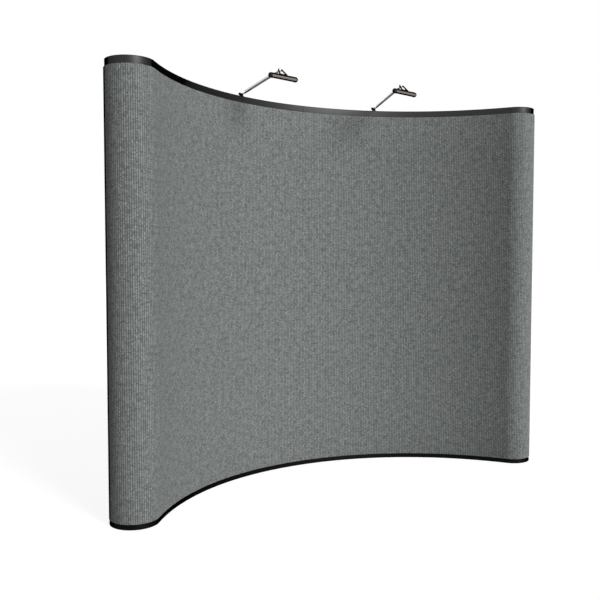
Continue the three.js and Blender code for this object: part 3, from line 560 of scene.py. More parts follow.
def dull_at_grazing(tree, shader, level):
    """A rough black film loses its sheen towards grazing angles, where its grains hide one another."""
    facing = add_node(tree, "ShaderNodeLayerWeight", {"Blend": 0.5}).outputs["Facing"]
    drive(tree, shader, Specular_IOR_Level=mapped(tree, facing, level, 0.0, 0.1, 0.5))


def rib_fabric():
    """Woven polyester loop fabric with upright ribs: matt, with yarn of four shades and painted shade in the
    valleys between the ribs and in the hollows of the loops.
    """
    finish = bpy.context.scene.backwall_fabric
    material, tree, shader = start_material(
        "ribbed polyester loop fabric", Roughness=0.92, IOR=1.45, Sheen_Weight=0.05, Sheen_Roughness=0.6
    )
    cloth = add_node(tree, "ShaderNodeUVMap", uv_map="cloth").outputs[0]
    # One wave every rib pitch: a wave's period is 2 pi / 20 at scale 1.
    wave = {"Scale": math.pi / 10 / finish.rib_pitch, "Distortion": 1.0, "Detail": 2.0, "Detail Scale": 3.0}
    ribs = add_node(tree, "ShaderNodeTexWave", {"Vector": cloth, **wave}, wave_profile="SIN").outputs["Fac"]
    # Loops are about half a rib wide and loop_height tall, coarser than the real yarn so that they show.
    along_ribs = stretched(tree, cloth, (2 / finish.rib_pitch, 1 / finish.loop_height, 1))
    loops = noise(tree, along_ribs, 1.0, 2.0, 0.6)
    flecks = noise(tree, along_ribs, 0.45, 1.0)
    clouds = noise(tree, cloth, 30.0, 4.0, 0.75)
    # Each cell has one yarn of its own: it is as wide as a rib and two loops tall.
    cells = stretched(tree, cloth, (1 / finish.rib_pitch, 0.5 / finish.loop_height, 1))
    cell = add_node(tree, "ShaderNodeVectorMath", {0: cells}, operation="FLOOR").outputs[0]
    yarn = add_node(tree, "ShaderNodeTexWhiteNoise", {"Vector": cell}).outputs["Value"]
    # Each layer covers the ones before it by a share that grows from start to end of its pattern.
    layers = (
        # Painted shade: the dark colour fills the low parts of the loops, where the relief sinks into
        # hollows.
        (loops, 0.54, 0.34, 0.75, finish.dark),
        (flecks, 0.5, 0.7, 0.6, finish.light),
        (yarn, 0.9, 1.0, 0.3, finish.warm),
        (yarn, 0.4, 0.0, 0.75, finish.dark),
        (clouds, 0.55, 0.35, 0.6, finish.dark),
        # Painted shade: the dark colour fills the valleys between the ribs, where the rib wave's relief
        # sinks.
        (ribs, 0.65, 0.1, 0.75, finish.dark),
    )
    colour = tuple(finish.ground)
    for pattern, start, end, share, shade in layers:
        colour = blended(tree, mapped(tree, pattern, 0.0, share, start, end), colour, tuple(shade))
    relief = add_node(tree, "ShaderNodeMath", {0: ribs, 1: loops}, operation="MULTIPLY").outputs[0]
    drive(tree, shader, Base_Color=colour, Normal=bumped(tree, relief, 0.5, 0.0008))
    return material


def felt_backing():
    """Needled charcoal felt on the panels' backs: matt and fibrous."""
    material, tree, shader = start_material("needled charcoal felt", Roughness=1.0, Sheen_Weight=0.15)
    fibres = object_noise(tree, 1.6, 4.0, (1, 1, 0.35))
    colour = blended(tree, fibres, hex_colour("3f4244"), hex_colour("636769"))
    drive(tree, shader, Base_Color=colour, Normal=bumped(tree, fibres, 0.4, 0.0004))
    return material


def magnet_tape():
    """Extruded magnetic rubber tape: dark brown-black with a dull, slightly scuffed face."""
    material, tree, shader = start_material("extruded magnetic rubber", IOR=1.5)
    worn_surface(tree, shader, hex_colour("241f1d"), (0.8, 1.3), 1.2, (0.55, 0.75), 0.0002)
    return material


def black_rail(name, level):
    """Black powder-coated aluminium: a satin film whose soft highlight is as strong as level says."""
    colour = tuple(bpy.context.scene.backwall_rail.rail)
    material, tree, shader = start_material(name, IOR=1.3)
    worn_surface(tree, shader, colour, (0.8, 1.2), 1.5, (0.42, 0.5), 0.00005)
    dull_at_grazing(tree, shader, level)
    return material


def black_plastic():
    """Moulded black nylon: finely textured, with a dull sheen."""
    colour = tuple(bpy.context.scene.backwall_rail.plastic)
    material, tree, shader = start_material("moulded black nylon", IOR=1.3)
    worn_surface(tree, shader, colour, (0.8, 1.25), 0.8, (0.38, 0.5), 0.00012)
    dull_at_grazing(tree, shader, 0.4)
    return material


def black_rubber():
    """Moulded rubber feet: matt, with dust in the grain."""
    material, tree, shader = start_material("moulded black rubber", IOR=1.5)
    worn_surface(tree, shader, hex_colour("1f1f20"), (0.8, 1.5), 1.4, (0.75, 0.9), 0.0002)
    return material


def brushed_metal(name, colour, roughness, stretch):
    """A metal with fine lines drawn along one direction: the lines spread its highlights."""
    material, tree, shader = start_material(name, Metallic=1.0)
    lines = object_noise(tree, 1.5, 3.0, stretch)
    tone = blended(tree, lines, darker(colour, 0.82), tuple(colour))
    drive(tree, shader, Base_Color=tone, Roughness=mapped(tree, lines, *roughness))
    return material


def lattice_tube():
    """Drawn aluminium tube with a clear anodised skin: bright grey with lines along its length."""
    colour = bpy.context.scene.backwall_metal.tube
    return brushed_metal("anodised aluminium tube", colour, (0.28, 0.45), (1, 1, 0.3))


def bar_steel():
    """Cold-rolled steel channel with a dark passivated skin."""
    colour = bpy.context.scene.backwall_metal.steel
    return brushed_metal("passivated steel channel", colour, (0.35, 0.5), (1, 1, 0.05))


def bronze_strip():
    """Bronze-grey anodised aluminium strip with lines drawn along it. On the arms this strip is painted
    reflection, standing for the dark overhead that the chrome mirrors.
    """
    colour = bpy.context.scene.backwall_metal.strip
    return brushed_metal("bronze anodised aluminium", colour, (0.38, 0.5), (0.1, 1, 1))


def chrome_plate():
    """Chrome plate on steel tube: a mirror with very fine polishing marks."""
    material, tree, shader = start_material("polished chrome plate", Metallic=1.0)
    marks = object_noise(tree, 2.5, 4.0, (1, 0.2, 1))
    bright = tuple(bpy.context.scene.backwall_metal.chrome)
    tone = blended(tree, marks, hex_colour("c9c6c4"), bright)
    drive(tree, shader, Base_Color=tone, Roughness=mapped(tree, marks, 0.06, 0.16))
    return material


def reflector_sheet():
    """Hammered bright aluminium sheet: small dimples that scatter the light."""
    material, tree, shader = start_material("hammered bright aluminium", Metallic=1.0, Roughness=0.28)
    place = add_node(tree, "ShaderNodeTexCoord").outputs["Object"]
    dimple = {"Vector": place, "Scale": 1000 / 4.5}
    dimples = add_node(tree, "ShaderNodeTexVoronoi", dimple, feature="SMOOTH_F1").outputs["Distance"]
    colour = tuple(bpy.context.scene.backwall_metal.reflector)
    tone = blended(tree, dimples, colour, darker(colour, 0.7))
    drive(tree, shader, Base_Color=tone, Normal=bumped(tree, dimples, 0.6, 0.0006))
    return material


def quartz_glass():
    """Quartz tube with a light frosted haze from drawing."""
    material, tree, shader = start_material("drawn quartz glass", IOR=1.46, Transmission_Weight=0.9)
    haze = object_noise(tree, 3.0, 2.0, (0.2, 1, 1))
    tone = blended(tree, haze, hex_colour("f4f1ea"), hex_colour("dedad2"))
    drive(tree, shader, Base_Color=tone, Roughness=mapped(tree, haze, 0.05, 0.25))
    return material


def lamp_ceramic():
    """Glazed steatite of the lamp's sockets: off-white with a fine speckle."""
    material, tree, shader = start_material("glazed steatite", IOR=1.6)
    worn_surface(tree, shader, hex_colour("d9d4c8"), (0.85, 1.05), 1.0, (0.3, 0.45), 0.00008)
    return material


FLOOR_GLOW = 0.83  # with the key light's share it reaches white, so that a shadow stays visible


def pale_floor():
    """Pale studio paper: plain white to the camera where it is lit, and it keeps the wall's soft shadow."""
    material, tree, shader = start_material("pale studio paper", Roughness=0.9)
    fibres = object_noise(tree, 4.0, 4.0)
    drive(tree, shader, Base_Color=blended(tree, fibres, hex_colour("9c9c9b"), hex_colour("a8a8a7")))
    share = mapped(tree, directly_seen(tree), 0.0, FLOOR_GLOW)
    glow = add_node(tree, "ShaderNodeEmission", {"Color": (1, 1, 1, 1), "Strength": share})
    lit = add_node(tree, "ShaderNodeAddShader", {0: shader.outputs[0], 1: glow.outputs[0]})
    tree.links.new(lit.outputs[0], tree.nodes["Material Output"].inputs["Surface"])
    return material


# ---------------------------------------------------------------- panels


def wrapped_line(length, fold, turn_in, count, fold_steps=6):
    """A line of cloth across a panel with both ends folded to the back.

    It starts on the back, turn_in from the edge, runs round a half circle of radius fold, across the
    face and round the other edge. Returns each point's place across the face, its depth, and the
    length of cloth up to it."""
    turn = np.linspace(np.pi, 0, fold_steps)
    folded = fold - fold * np.sin(turn)
    deep = fold - fold * np.cos(turn)
    face = np.linspace(fold, length - fold, count)[1:-1]
    place = np.concatenate([[turn_in], folded, face, length - folded[::-1], [length - turn_in]])
    depth = np.concatenate([[2 * fold], deep, np.zeros(len(face)), deep[::-1], [2 * fold]])
    cloth = np.concatenate([[0], np.cumsum(np.hypot(np.diff(place), np.diff(depth)))])
    return place, depth, cloth


def cloth_grid(run, height, where):
    """Cloth folded round the four edges of a panel, with upright ribs on its face.

    The depth of a point is the sum of its two folds, at most two fold radii. A rib stands proud by
    h (0.5 + 0.5 cos(2 pi s / pitch)) where the cloth lies on the face. where(run, depth) gives the plan."""
    finish = bpy.context.scene.backwall_fabric
    ribs = max(round(run / finish.rib_pitch), 1)
    across, across_depth, cloth_u = wrapped_line(run, finish.fold_radius, finish.turn_in, 6 * ribs + 1)
    up, up_depth, cloth_v = wrapped_line(height, finish.fold_radius, finish.turn_in, 12)
    depth = np.minimum(across_depth[:, None] + up_depth[None, :], 2 * finish.fold_radius)
    wave = 0.5 + 0.5 * np.cos(2 * np.pi * ribs * across / run)
    on_face = np.clip(1 - depth / finish.fold_radius, 0, 1)
    depth = depth - finish.rib_height * wave[:, None] * on_face
    plan = where(np.broadcast_to(across[:, None], depth.shape), depth)
    points = np.concatenate(
        [plan, np.broadcast_to(PANEL_BOTTOM + up[None, :, None], (*depth.shape, 1))], axis=-1
    )
    uv = np.stack(np.broadcast_arrays(cloth_u[:, None], cloth_v[None, :]), axis=-1).reshape(-1, 2)
    return grid_shape(points), uv, (float(cloth_u[-1]), float(cloth_v[-1]))


def stiff_sheet(start, end, low, high, front, back, where, steps=48):
    """A thin stiff sheet: the rectangle of depths front to back drawn along a run of the wall."""
    run = np.linspace(start, end, steps)
    ring = np.array([[front, low], [front, high], [back, high], [back, low]])
    plan = where(run[:, None], np.broadcast_to(ring[:, 0], (steps, 4)))
    points = np.concatenate([plan, np.broadcast_to(ring[:, 1, None], (steps, 4, 1))], axis=-1)
    return grid_shape(points, wrap_columns=True, cap=True)


def make_panel(name, start, end, where, materials, cloth_end=None):
    """A panel between two runs: its cloth, its felt back and its magnet tapes.

    Where cloth_end comes before end, a black strip of painted shade covers the rest of the panel's face,
    where the rounded end turns away from the light."""
    fabric, felt, tape, plastic = materials
    finish = bpy.context.scene.backwall_fabric
    cloth_end = cloth_end or end
    height = PANEL_TOP - PANEL_BOTTOM
    shape, uv, flat = cloth_grid(cloth_end - start, height, lambda run, depth: where(start + run, depth))
    cloth = new_piece(f"{name}_cloth", shape, fabric, name, [name], uv)
    thickness = cloth.modifiers.new("cloth thickness", "SOLIDIFY")
    thickness.thickness = CLOTH_THICK
    thickness.offset = -1
    low, high = PANEL_BOTTOM + BACKING_INSET, PANEL_TOP - BACKING_INSET
    back = 2 * finish.fold_radius
    behind = back + FELT_THICK
    sheet = stiff_sheet(start + BACKING_INSET, end - BACKING_INSET, low, high, back, behind, where)
    new_piece(f"{name}_felt", sheet, felt, name)
    edges = ((start + TAPE_INSET, start + TAPE_REACH), (end - TAPE_REACH, end - TAPE_INSET))
    strips = [stiff_sheet(a, b, low, high, behind, TAPE_BACK, where, 8) for a, b in edges]
    new_piece(f"{name}_tape", joined(strips), tape, name)
    # Painted shade: the black strip stands for the dark side of the rounded end that turns away from the
    # light.
    if cloth_end < end:
        beside = cloth_end + CLOTH_THICK
        strip = stiff_sheet(beside, end, PANEL_BOTTOM, PANEL_TOP, 0.0001, back, where)
        new_piece(f"{name}_painted_shade_strip", strip, plastic, name)


class BACKWALL_OT_front_panels(bpy.types.Operator):
    """Build the four front panels with their cloth, felt backs and magnet tapes."""

    bl_idname = "backwall.front_panels"
    bl_label = "Front panels"

    def execute(self, context):
        materials = rib_fabric(), felt_backing(), magnet_tape(), black_plastic()
        for bay in range(BAYS):
            start = column_angle(bay) * FRONT_RADIUS + CLOTH_GAP / 2
            end = column_angle(bay + 1) * FRONT_RADIUS - CLOTH_GAP / 2
            make_panel(
                f"front_panel_{bay + 1}",
                start,
                end,
                lambda run, depth: front_place(run / FRONT_RADIUS, depth),
                materials,
            )
        return {"FINISHED"}


class BACKWALL_OT_end_panels(bpy.types.Operator):
    """Build the two rounded end panels with their cloth, backs, tapes and black strips of painted shade."""

    bl_idname = "backwall.end_panels"
    bl_label = "End panels"

    def execute(self, context):
        materials = (
            bpy.data.materials["ribbed polyester loop fabric"],
            bpy.data.materials["needled charcoal felt"],
            bpy.data.materials["extruded magnetic rubber"],
            bpy.data.materials["moulded black nylon"],
        )
        for word, side in (("left", -1), ("right", 1)):
            make_panel(
                f"end_panel_{word}",
                CLOTH_GAP / 2,
                np.pi * END_RADIUS + END_TAIL,
                lambda run, depth, side=side: end_place(run, depth, side),
                materials,
                cloth_end=CLOTH_TURN * END_RADIUS,
            )
        return {"FINISHED"}


# ---------------------------------------------------------------- edge rails

# Profiles as (depth, height): a channel open downwards with a bead along its top edge, and a plate
# with a thicker foot strip.
TOP_PROFILE = [
    (0.0055, 2.199),
    (0.0055, 2.2462),
    (0.0050, 2.2468),
    (0.0050, 2.25),
    (0.027, 2.25),
    (0.027, 2.235),
    (0.024, 2.235),
    (0.024, 2.247),
    (0.0085, 2.247),
    (0.0085, 2.199),
]
BOTTOM_PROFILE = [
    (0.002, 0.0005),
    (0.002, 0.014),
    (0.0055, 0.0155),
    (0.0055, 0.040),
    (0.0085, 0.040),
    (0.0085, 0.0005),
]


def swept_rail(run, profile, where):
    """A rail: its profile of (depth, height) with rounded corners, carried along the run of the wall."""
    corner = bpy.context.scene.backwall_rail.corner
    ring = filleted(profile, corner, 4)
    plan = where(run[:, None], np.broadcast_to(ring[:, 0], (len(run), len(ring))))
    height = np.broadcast_to(ring[:, 1, None], (len(run), len(ring), 1))
    return grid_shape(np.concatenate([plan, height], axis=-1), wrap_columns=True, cap=True)


class BACKWALL_OT_edge_rails(bpy.types.Operator):
    """Build the black rails along the top and bottom edges."""

    bl_idname = "backwall.edge_rails"
    bl_label = "Edge rails"

    def execute(self, context):
        coats = {
            "top": black_rail("satin black powder coat", 1.0),
            "bottom": black_rail("scuffed black powder coat", 0.15),
        }
        half = FRONT_RADIUS * HALF_SWEEP
        for word, side in (("left", -1), ("right", 1)):
            arc = np.linspace(RAIL_SEAM / 2, half - RAIL_SEAM / 2, 72)
            bend = np.linspace(RAIL_SEAM / 2, np.pi * END_RADIUS, 64)
            bend = np.append(bend, np.pi * END_RADIUS + END_TAIL)
            runs = (
                ("rail", arc, lambda run, depth, s=side: front_place(s * run / FRONT_RADIUS, depth)),
                ("end_rail", bend, lambda run, depth, s=side: end_place(run, depth, s)),
            )
            for kind, run, where in runs:
                for edge, profile in (("top", TOP_PROFILE), ("bottom", BOTTOM_PROFILE)):
                    node = f"{edge}_{kind}_{word}"
                    rail = swept_rail(run, profile, where)
                    new_piece(f"{node}_profile", rail, coats[edge], "frame", [node])
        return {"FINISHED"}


# ---------------------------------------------------------------- lattice frame


def hub_outline(offset):
    """A disc's outline with a notch from each side, as wide as a tube's tip, where the tips pivot.

    The notch that opens towards +X lies offset above the middle, and the other one offset below it."""
    turn = np.linspace(0, 2 * np.pi, 48, endpoint=False)
    round_points = HUB_RADIUS * np.stack([np.cos(turn), np.sin(turn)], axis=-1)
    half = 0.0034
    bottom = 0.008
    points = []
    for side in (1, -1):
        middle = side * offset
        mouth = side * np.sqrt(HUB_RADIUS**2 - (middle + np.array([-half, half])) ** 2)
        notch = [(mouth[0], middle - half), (side * bottom, middle - half)]
        notch += [(side * bottom, middle + half), (mouth[1], middle + half)]
        beside = np.abs(round_points[:, 1] - middle) > half + 0.0008
        facing = np.sign(round_points[:, 0]) == side
        arc = round_points[facing & beside]
        arc = arc[np.argsort(arc[:, 1])]
        below = arc[arc[:, 1] < middle].tolist()
        above = arc[arc[:, 1] > middle].tolist()
        strip = below + notch + above
        points += strip if side == 1 else strip[::-1]
    return np.array(points)


def hub_shapes(depth, height, offset, outwards):
    """A moulded hub: the notched disc, a ring and a domed cap on its outer face, and its two tip pins."""
    outer = depth + outwards * HUB_THICK / 2
    body = plate(hub_outline(offset), -HUB_THICK / 2, HUB_THICK / 2, 0.0012)
    shapes = [moved(body, Matrix.Translation((0, depth, height)))]
    cap = [(-0.001, 0.0102), (0.0006, 0.0102), (0.0012, 0.0098), (0.0014, 0.0085), (0.0009, 0.0078)]
    cap += [(0.0009, 0.0052), (0.0016, 0.0046), (0.0019, 0.003), (0.002, 0.0008)]
    stations, radii = np.array(cap).T
    dome = tapered(stations, radii, 24)
    shapes.append(moved(dome, aimed((0, outer, height), (0, outer + outwards, height))))
    pin_half = 0.0155
    for x in (-PIVOT_OFFSET, PIVOT_OFFSET):
        ends = (x, depth, height - pin_half), (x, depth, height + pin_half)
        shapes.append(round_bar(*ends, 0.0021, 0.0005, 12))
    return shapes


def upright_tubes():
    """The crossed upright tubes of one column with their rivets and domed rivet heads."""
    shapes = []
    step = TUBE_STEP
    reach = step + RIVET_REACH
    for level in range(ROWS):
        low = BOTTOM_HUB_Z + level * HUB_PITCH + UPRIGHT_INSET
        high = low + HUB_PITCH - 2 * UPRIGHT_INSET
        middle = (low + high) / 2
        shapes.append(round_bar((step, FRONT_HUB_DEPTH, low), (step, BACK_HUB_DEPTH, high), TUBE_RADIUS))
        shapes.append(round_bar((-step, BACK_HUB_DEPTH, low), (-step, FRONT_HUB_DEPTH, high), TUBE_RADIUS))
        shapes.append(rivet((-reach, WALL_DEPTH / 2, middle), (reach, WALL_DEPTH / 2, middle)))
    return shapes


def rivet(start, end):
    """A rivet with a thin shank and a dome at each end.

    At x from the end a dome's radius is r(x) = 0.4 mm + 4 mm sqrt(1 - (1 - x / 1.5 mm)^2)."""
    length = (Vector(end) - Vector(start)).length
    deep = 0.0015
    rise = np.linspace(0, 1, 5)
    dome = 0.004 * np.sqrt(1 - (1 - rise) ** 2) + 0.0004
    shank = [deep + 0.0001, length - deep - 0.0001]
    stations = np.concatenate([deep * rise, shank, length - deep * rise[::-1]])
    radii = np.concatenate([dome, [0.0025, 0.0025], dome[::-1]])
    return moved(tapered(stations, radii, 14), aimed(start, end))


class BACKWALL_OT_columns(bpy.types.Operator):
    """Build the five upright columns: hubs, crossed tubes, rail posts, legs and feet."""

    bl_idname = "backwall.columns"
    bl_label = "Frame columns"

    def execute(self, context):
        nylon = bpy.data.materials["moulded black nylon"]
        metal = lattice_tube()
        rubber = black_rubber()
        for column in range(BAYS + 1):
            place = wall_matrix(column_angle(column))
            name = f"frame_column_{column + 1}"
            hubs = []
            for level in range(ROWS + 1):
                height = BOTTOM_HUB_Z + level * HUB_PITCH
                hubs += hub_shapes(FRONT_HUB_DEPTH, height, TUBE_STEP, -1)
                hubs += hub_shapes(BACK_HUB_DEPTH, height, -TUBE_STEP, 1)
            new_piece(f"{name}_hubs", moved(joined(hubs), place), nylon, "frame", [name])
            new_piece(f"{name}_tubes", moved(joined(upright_tubes()), place), metal, "frame")
            posts, feet = self.posts_and_feet(column in (0, BAYS))
            new_piece(f"{name}_posts", moved(joined(posts), place), nylon, "frame")
            new_piece(f"{name}_feet", moved(joined(feet), place), rubber, "frame")
        return {"FINISHED"}

    @staticmethod
    def posts_and_feet(at_end):
        """The posts that hold the rails, the round legs and the turned feet of one column.

        A column at an end of the wall has posts for the rear rails too."""
        half = POST_WIDTH / 2
        sole = FOOT_HEIGHT / 2
        above_hubs = BOTTOM_HUB_Z + ROWS * HUB_PITCH + UPRIGHT_INSET
        below_hubs = BOTTOM_HUB_Z - UPRIGHT_INSET
        spans = [(END_POST_FRONT if at_end else POST_FRONT, POST_REAR)]
        if at_end:
            spans.append((WALL_DEPTH - POST_REAR, WALL_DEPTH - END_POST_FRONT))
        posts, feet = [], []
        for low, high in spans:
            posts.append(rounded_block((-half, low, above_hubs), (half, high, POST_TOP), 0.0015))
            posts.append(rounded_block((-half, low, sole), (half, high, below_hubs), 0.0015))
        profile = [(0, 0.0122), (0.0004, 0.0134), (0.0012, FOOT_RADIUS), (0.0035, FOOT_RADIUS)]
        profile += [(0.0048, 0.0133), (0.0058, 0.0118), (0.0062, 0.0095), (0.0062, 0.0072)]
        foot = tapered(*np.array(profile).T, 28)
        for depth in (FRONT_HUB_DEPTH + FOOT_INSET, BACK_HUB_DEPTH - FOOT_INSET):
            posts.append(round_bar((0, depth, sole), (0, depth, below_hubs), LEG_RADIUS, 0.0008, 20))
            feet.append(moved(foot, aimed((0, depth, 0), (0, depth, 1))))
        return posts, feet


def level_tube(start, end):
    """A round tube flattened at both ends. Its section is a superellipse |y/a|^p + |z/b|^p = 1 that goes
    from 5 by 5 mm and p = 2 in the middle to 6 by 3 mm and p = 5 at the tips."""
    length = (Vector(end) - Vector(start)).length
    near = np.array([-0.005, -0.0048, -0.0042, -0.002, 0.010, 0.014, 0.018, 0.022, 0.026, 0.030])
    shrink = np.array([0.78, 0.9, 0.97, 1, 1, 1, 1, 1, 1, 1])
    blend = np.clip((near - 0.012) / 0.016, 0, 1)
    blend = blend * blend * (3 - 2 * blend)
    stations = np.concatenate([near, (length - near)[::-1]])
    blend = np.concatenate([blend, blend[::-1]])
    shrink = np.concatenate([shrink, shrink[::-1]])
    power = 5 - 3 * blend
    wide = (0.006 - 0.001 * blend) * shrink
    thick = (0.003 + 0.002 * blend) * shrink
    turn = np.linspace(0, 2 * np.pi, 20, endpoint=False)
    cosine, sine = np.cos(turn), np.sin(turn)
    exponent = (2 / power)[:, None]
    points = np.empty((len(stations), len(turn), 3))
    points[..., 0] = stations[:, None]
    points[..., 1] = wide[:, None] * np.sign(cosine) * np.abs(cosine) ** exponent
    points[..., 2] = thick[:, None] * np.sign(sine) * np.abs(sine) ** exponent
    return moved(grid_shape(points, wrap_columns=True, cap=True), aimed(start, end))


def pivot_point(column, side, depth, height):
    """The pivot of a tube's tip in a hub, on one side of its column."""
    return wall_matrix(column_angle(column)) @ Vector((side * PIVOT_OFFSET, depth, height))


class BACKWALL_OT_scissor_pairs(bpy.types.Operator):
    """Build the crossed level tubes of each bay and row."""

    bl_idname = "backwall.scissor_pairs"
    bl_label = "Level tubes"

    def execute(self, context):
        metal = bpy.data.materials["anodised aluminium tube"]
        for level in range(ROWS + 1):
            height = BOTTOM_HUB_Z + level * HUB_PITCH
            for bay in range(BAYS):
                node = f"scissor_pair_row{level + 1}_bay{bay + 1}"
                upper = self.tips(bay, FRONT_HUB_DEPTH, BACK_HUB_DEPTH, height + TUBE_STEP)
                lower = self.tips(bay, BACK_HUB_DEPTH, FRONT_HUB_DEPTH, height - TUBE_STEP)
                crossing = self.crossing(upper, lower)
                pin = Vector((0, 0, TUBE_STEP + RIVET_REACH))
                middle = Vector((crossing.x, crossing.y, height))
                shapes = [level_tube(*upper), level_tube(*lower), rivet(middle - pin, middle + pin)]
                new_piece(f"{node}_tubes", joined(shapes), metal, "frame", [node])
        return {"FINISHED"}

    @staticmethod
    def tips(bay, near, far, height):
        """The two pivots of a tube that crosses a bay from one depth to another."""
        return [pivot_point(bay, 1, near, height), pivot_point(bay + 1, -1, far, height)]

    @staticmethod
    def crossing(upper, lower):
        """The plan point where two tubes cross: a + t (b - a), with t from the two lines' cross product."""
        a, b = upper
        c, d = lower
        r, s = b - a, d - c
        t = ((c.x - a.x) * s.y - (c.y - a.y) * s.x) / (r.x * s.y - r.y * s.x)
        return a + t * r


class BACKWALL_OT_channel_bars(bpy.types.Operator):
    """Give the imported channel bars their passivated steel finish."""

    bl_idname = "backwall.channel_bars"
    bl_label = "Channel bars"

    def execute(self, context):
        steel = bar_steel()
        names = [f"channel_bar_{column + 1}" for column in range(BAYS + 1)]
        names += ["rear_channel_bar_left", "rear_channel_bar_right"]
        for name in names:
            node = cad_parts[name]
            node.data.materials.clear()
            node.data.materials.append(steel)
        return {"FINISHED"}


# ---------------------------------------------------------------- arm lights


def light_frames(word):
    """The frames of one light: its clamp, its turntable, its raised arm and its head's tilt axis."""
    place, heading = (math.radians(angle) for angle in LIGHTS[word])
    clamp = wall_matrix(place, 0, WALL_HEIGHT)
    pivot = wall_matrix(place, SWIVEL_DEPTH, WALL_HEIGHT).translation
    table = Matrix.Translation(pivot) @ Matrix.Rotation(heading, 4, "Z")
    slope = Matrix.Rotation(-math.atan2(ARM_RISE, ARM_REACH), 4, "X")
    raised = table @ Matrix.Translation((0, 0, ARM_PIVOT_RISE)) @ slope
    head = table @ Matrix.Translation((0, -ARM_REACH, ARM_PIVOT_RISE + ARM_RISE))
    return clamp, table, raised, head


def head_turn(word):
    """The turn from an arm to its head about the upright."""
    return Matrix.Rotation(math.radians(HEAD_HEADING - LIGHTS[word][1]), 4, "Z")


# The housing's own axis, from the head's tilt axis.
HOUSING_PLACE = Matrix.Translation((0, -HEAD_FORWARD, -HEAD_DROP))


CLAMP_OUTLINE = [
    (0.0203, -0.004),
    (0.0203, -0.020),
    (0.046, -0.020),
    (0.046, 0.004),
    (0.050, 0.004),
    (0.050, 0.009),
    (0.0273, 0.009),
    (0.0273, 0.004),
    (0.042, 0.004),
    (0.042, -0.016),
    (0.0233, -0.016),
    (0.0233, -0.004),
]


def quarter_turn(quarters):
    """A turn about the upright by a number of quarters."""
    return Matrix.Rotation(quarters * math.pi / 2, 4, "Z")


def fluted_knob(start, end, radius):
    """A knob with six shallow flutes and domed rims: r(t) = 0.96 radius (1 + 0.04 cos 6t)."""
    length = (Vector(end) - Vector(start)).length
    rim = np.array([0.0, 0.02, 0.07, 0.16, 0.84, 0.93, 0.98, 1.0]) * length
    scale = np.array([0.8, 0.9, 0.96, 1.0, 1.0, 0.96, 0.9, 0.8])
    outline = ring_outline(0.96 * radius, 60, 0.04, 6)
    points = np.empty((len(rim), len(outline), 3))
    points[..., 0] = rim[:, None]
    points[..., 1:] = outline[None] * scale[:, None, None]
    return moved(grid_shape(points, wrap_columns=True, cap=True), aimed(start, end))


def threaded_shaft(start, end, radius, pitch=0.00125):
    """A screw's shaft: rings whose radius goes up and down by 0.3 mm once a pitch."""
    length = (Vector(end) - Vector(start)).length
    turns = max(int(length / pitch), 1)
    stations = np.linspace(0, length, 2 * turns + 1)
    radii = radius - 0.0003 * (np.arange(2 * turns + 1) % 2)
    return moved(tapered(stations, radii, 18), aimed(start, end))


class BACKWALL_OT_light_clamps(bpy.types.Operator):
    """Build each light's clamp, pad, screw and swivel."""

    bl_idname = "backwall.light_clamps"
    bl_label = "Light clamps"

    def execute(self, context):
        nylon = bpy.data.materials["moulded black nylon"]
        rubber = bpy.data.materials["moulded black rubber"]
        chrome = chrome_plate()
        for word in LIGHTS:
            name = f"light_{word}"
            clamp, table, _, _ = light_frames(word)
            outline = filleted([(-y, z) for y, z in CLAMP_OUTLINE], 0.0006, 3)
            body = plate(outline, -CLAMP_WIDTH / 2, CLAMP_WIDTH / 2, 0.0006)
            body = moved(moved(body, quarter_turn(1)), clamp @ quarter_turn(2))
            new_piece(f"{name}_clamp_body", body, nylon, "frame", [f"{name}_clamp"])
            pad, shaft, grip = (moved(shape, clamp) for shape in self.screw_shapes())
            pad_body, screw_body, swivel_body = f"{name}_pad", f"{name}_screw", f"{name}_swivel"
            new_piece(pad_body, pad, rubber, pad_body, [f"{name}_clamp_pad"])
            new_piece(f"{name}_screw_shaft", shaft, chrome, screw_body)
            new_piece(
                f"{name}_screw_knob", grip, nylon, screw_body, [f"{name}_clamp_screw"]
            )
            swivel = moved(joined(self.swivel_shapes()), table)
            new_piece(f"{name}_swivel_fork", swivel, nylon, swivel_body, [swivel_body])
        return {"FINISHED"}

    @staticmethod
    def screw_shapes():
        """The clamp's pad, its screw's threaded shaft and the screw's knob, one behind the other."""
        pad_front, pad_rear, shaft_start, knob_start, shaft_end, knob_end = (
            Vector((0, depth, SCREW_RISE)) for depth in (0.0273, 0.031, 0.0313, 0.048, 0.049, 0.060)
        )
        return (
            round_bar(pad_front, pad_rear, PAD_RADIUS, 0.0007, 24),
            threaded_shaft(shaft_start, shaft_end, SCREW_RADIUS),
            fluted_knob(knob_start, knob_end, 0.011),
        )

    @staticmethod
    def swivel_shapes():
        """Turntable, pin with its head, two cheeks with rounded tops, tilt pin and tilt knob."""
        rise = ARM_PIVOT_RISE
        inside, outside = 0.0058, 0.0085
        table_low, table_high = 0.0093, 0.0118
        pin_low = 0.0012
        turn = np.linspace(0, np.pi, 14)
        arch = np.stack([EYE_RADIUS * np.cos(turn), rise + EYE_RADIUS * np.sin(turn)], axis=-1)
        cheek = np.concatenate([[(-EYE_RADIUS, table_low), (EYE_RADIUS, table_low)], arch])
        shapes = [
            round_bar((0, 0, table_low), (0, 0, table_high), 0.009, 0.0007, 32),
            round_bar((0, 0, pin_low), (0, 0, table_low + 0.001), 0.003, 0.0002, 16),
            round_bar((0, 0, pin_low), (0, 0, pin_low + 0.0025), 0.005, 0.0006, 20),
            round_bar((-outside, 0, rise), (outside + 0.002, 0, rise), 0.0025, 0.0005, 16),
            fluted_knob((-outside + 0.001, 0, rise), (-outside - 0.008, 0, rise), 0.008),
        ]
        for low, high in ((-outside, -inside), (inside, outside)):
            shapes.append(moved(plate(cheek, -high, -low, 0.0004), quarter_turn(1)))
        return shapes


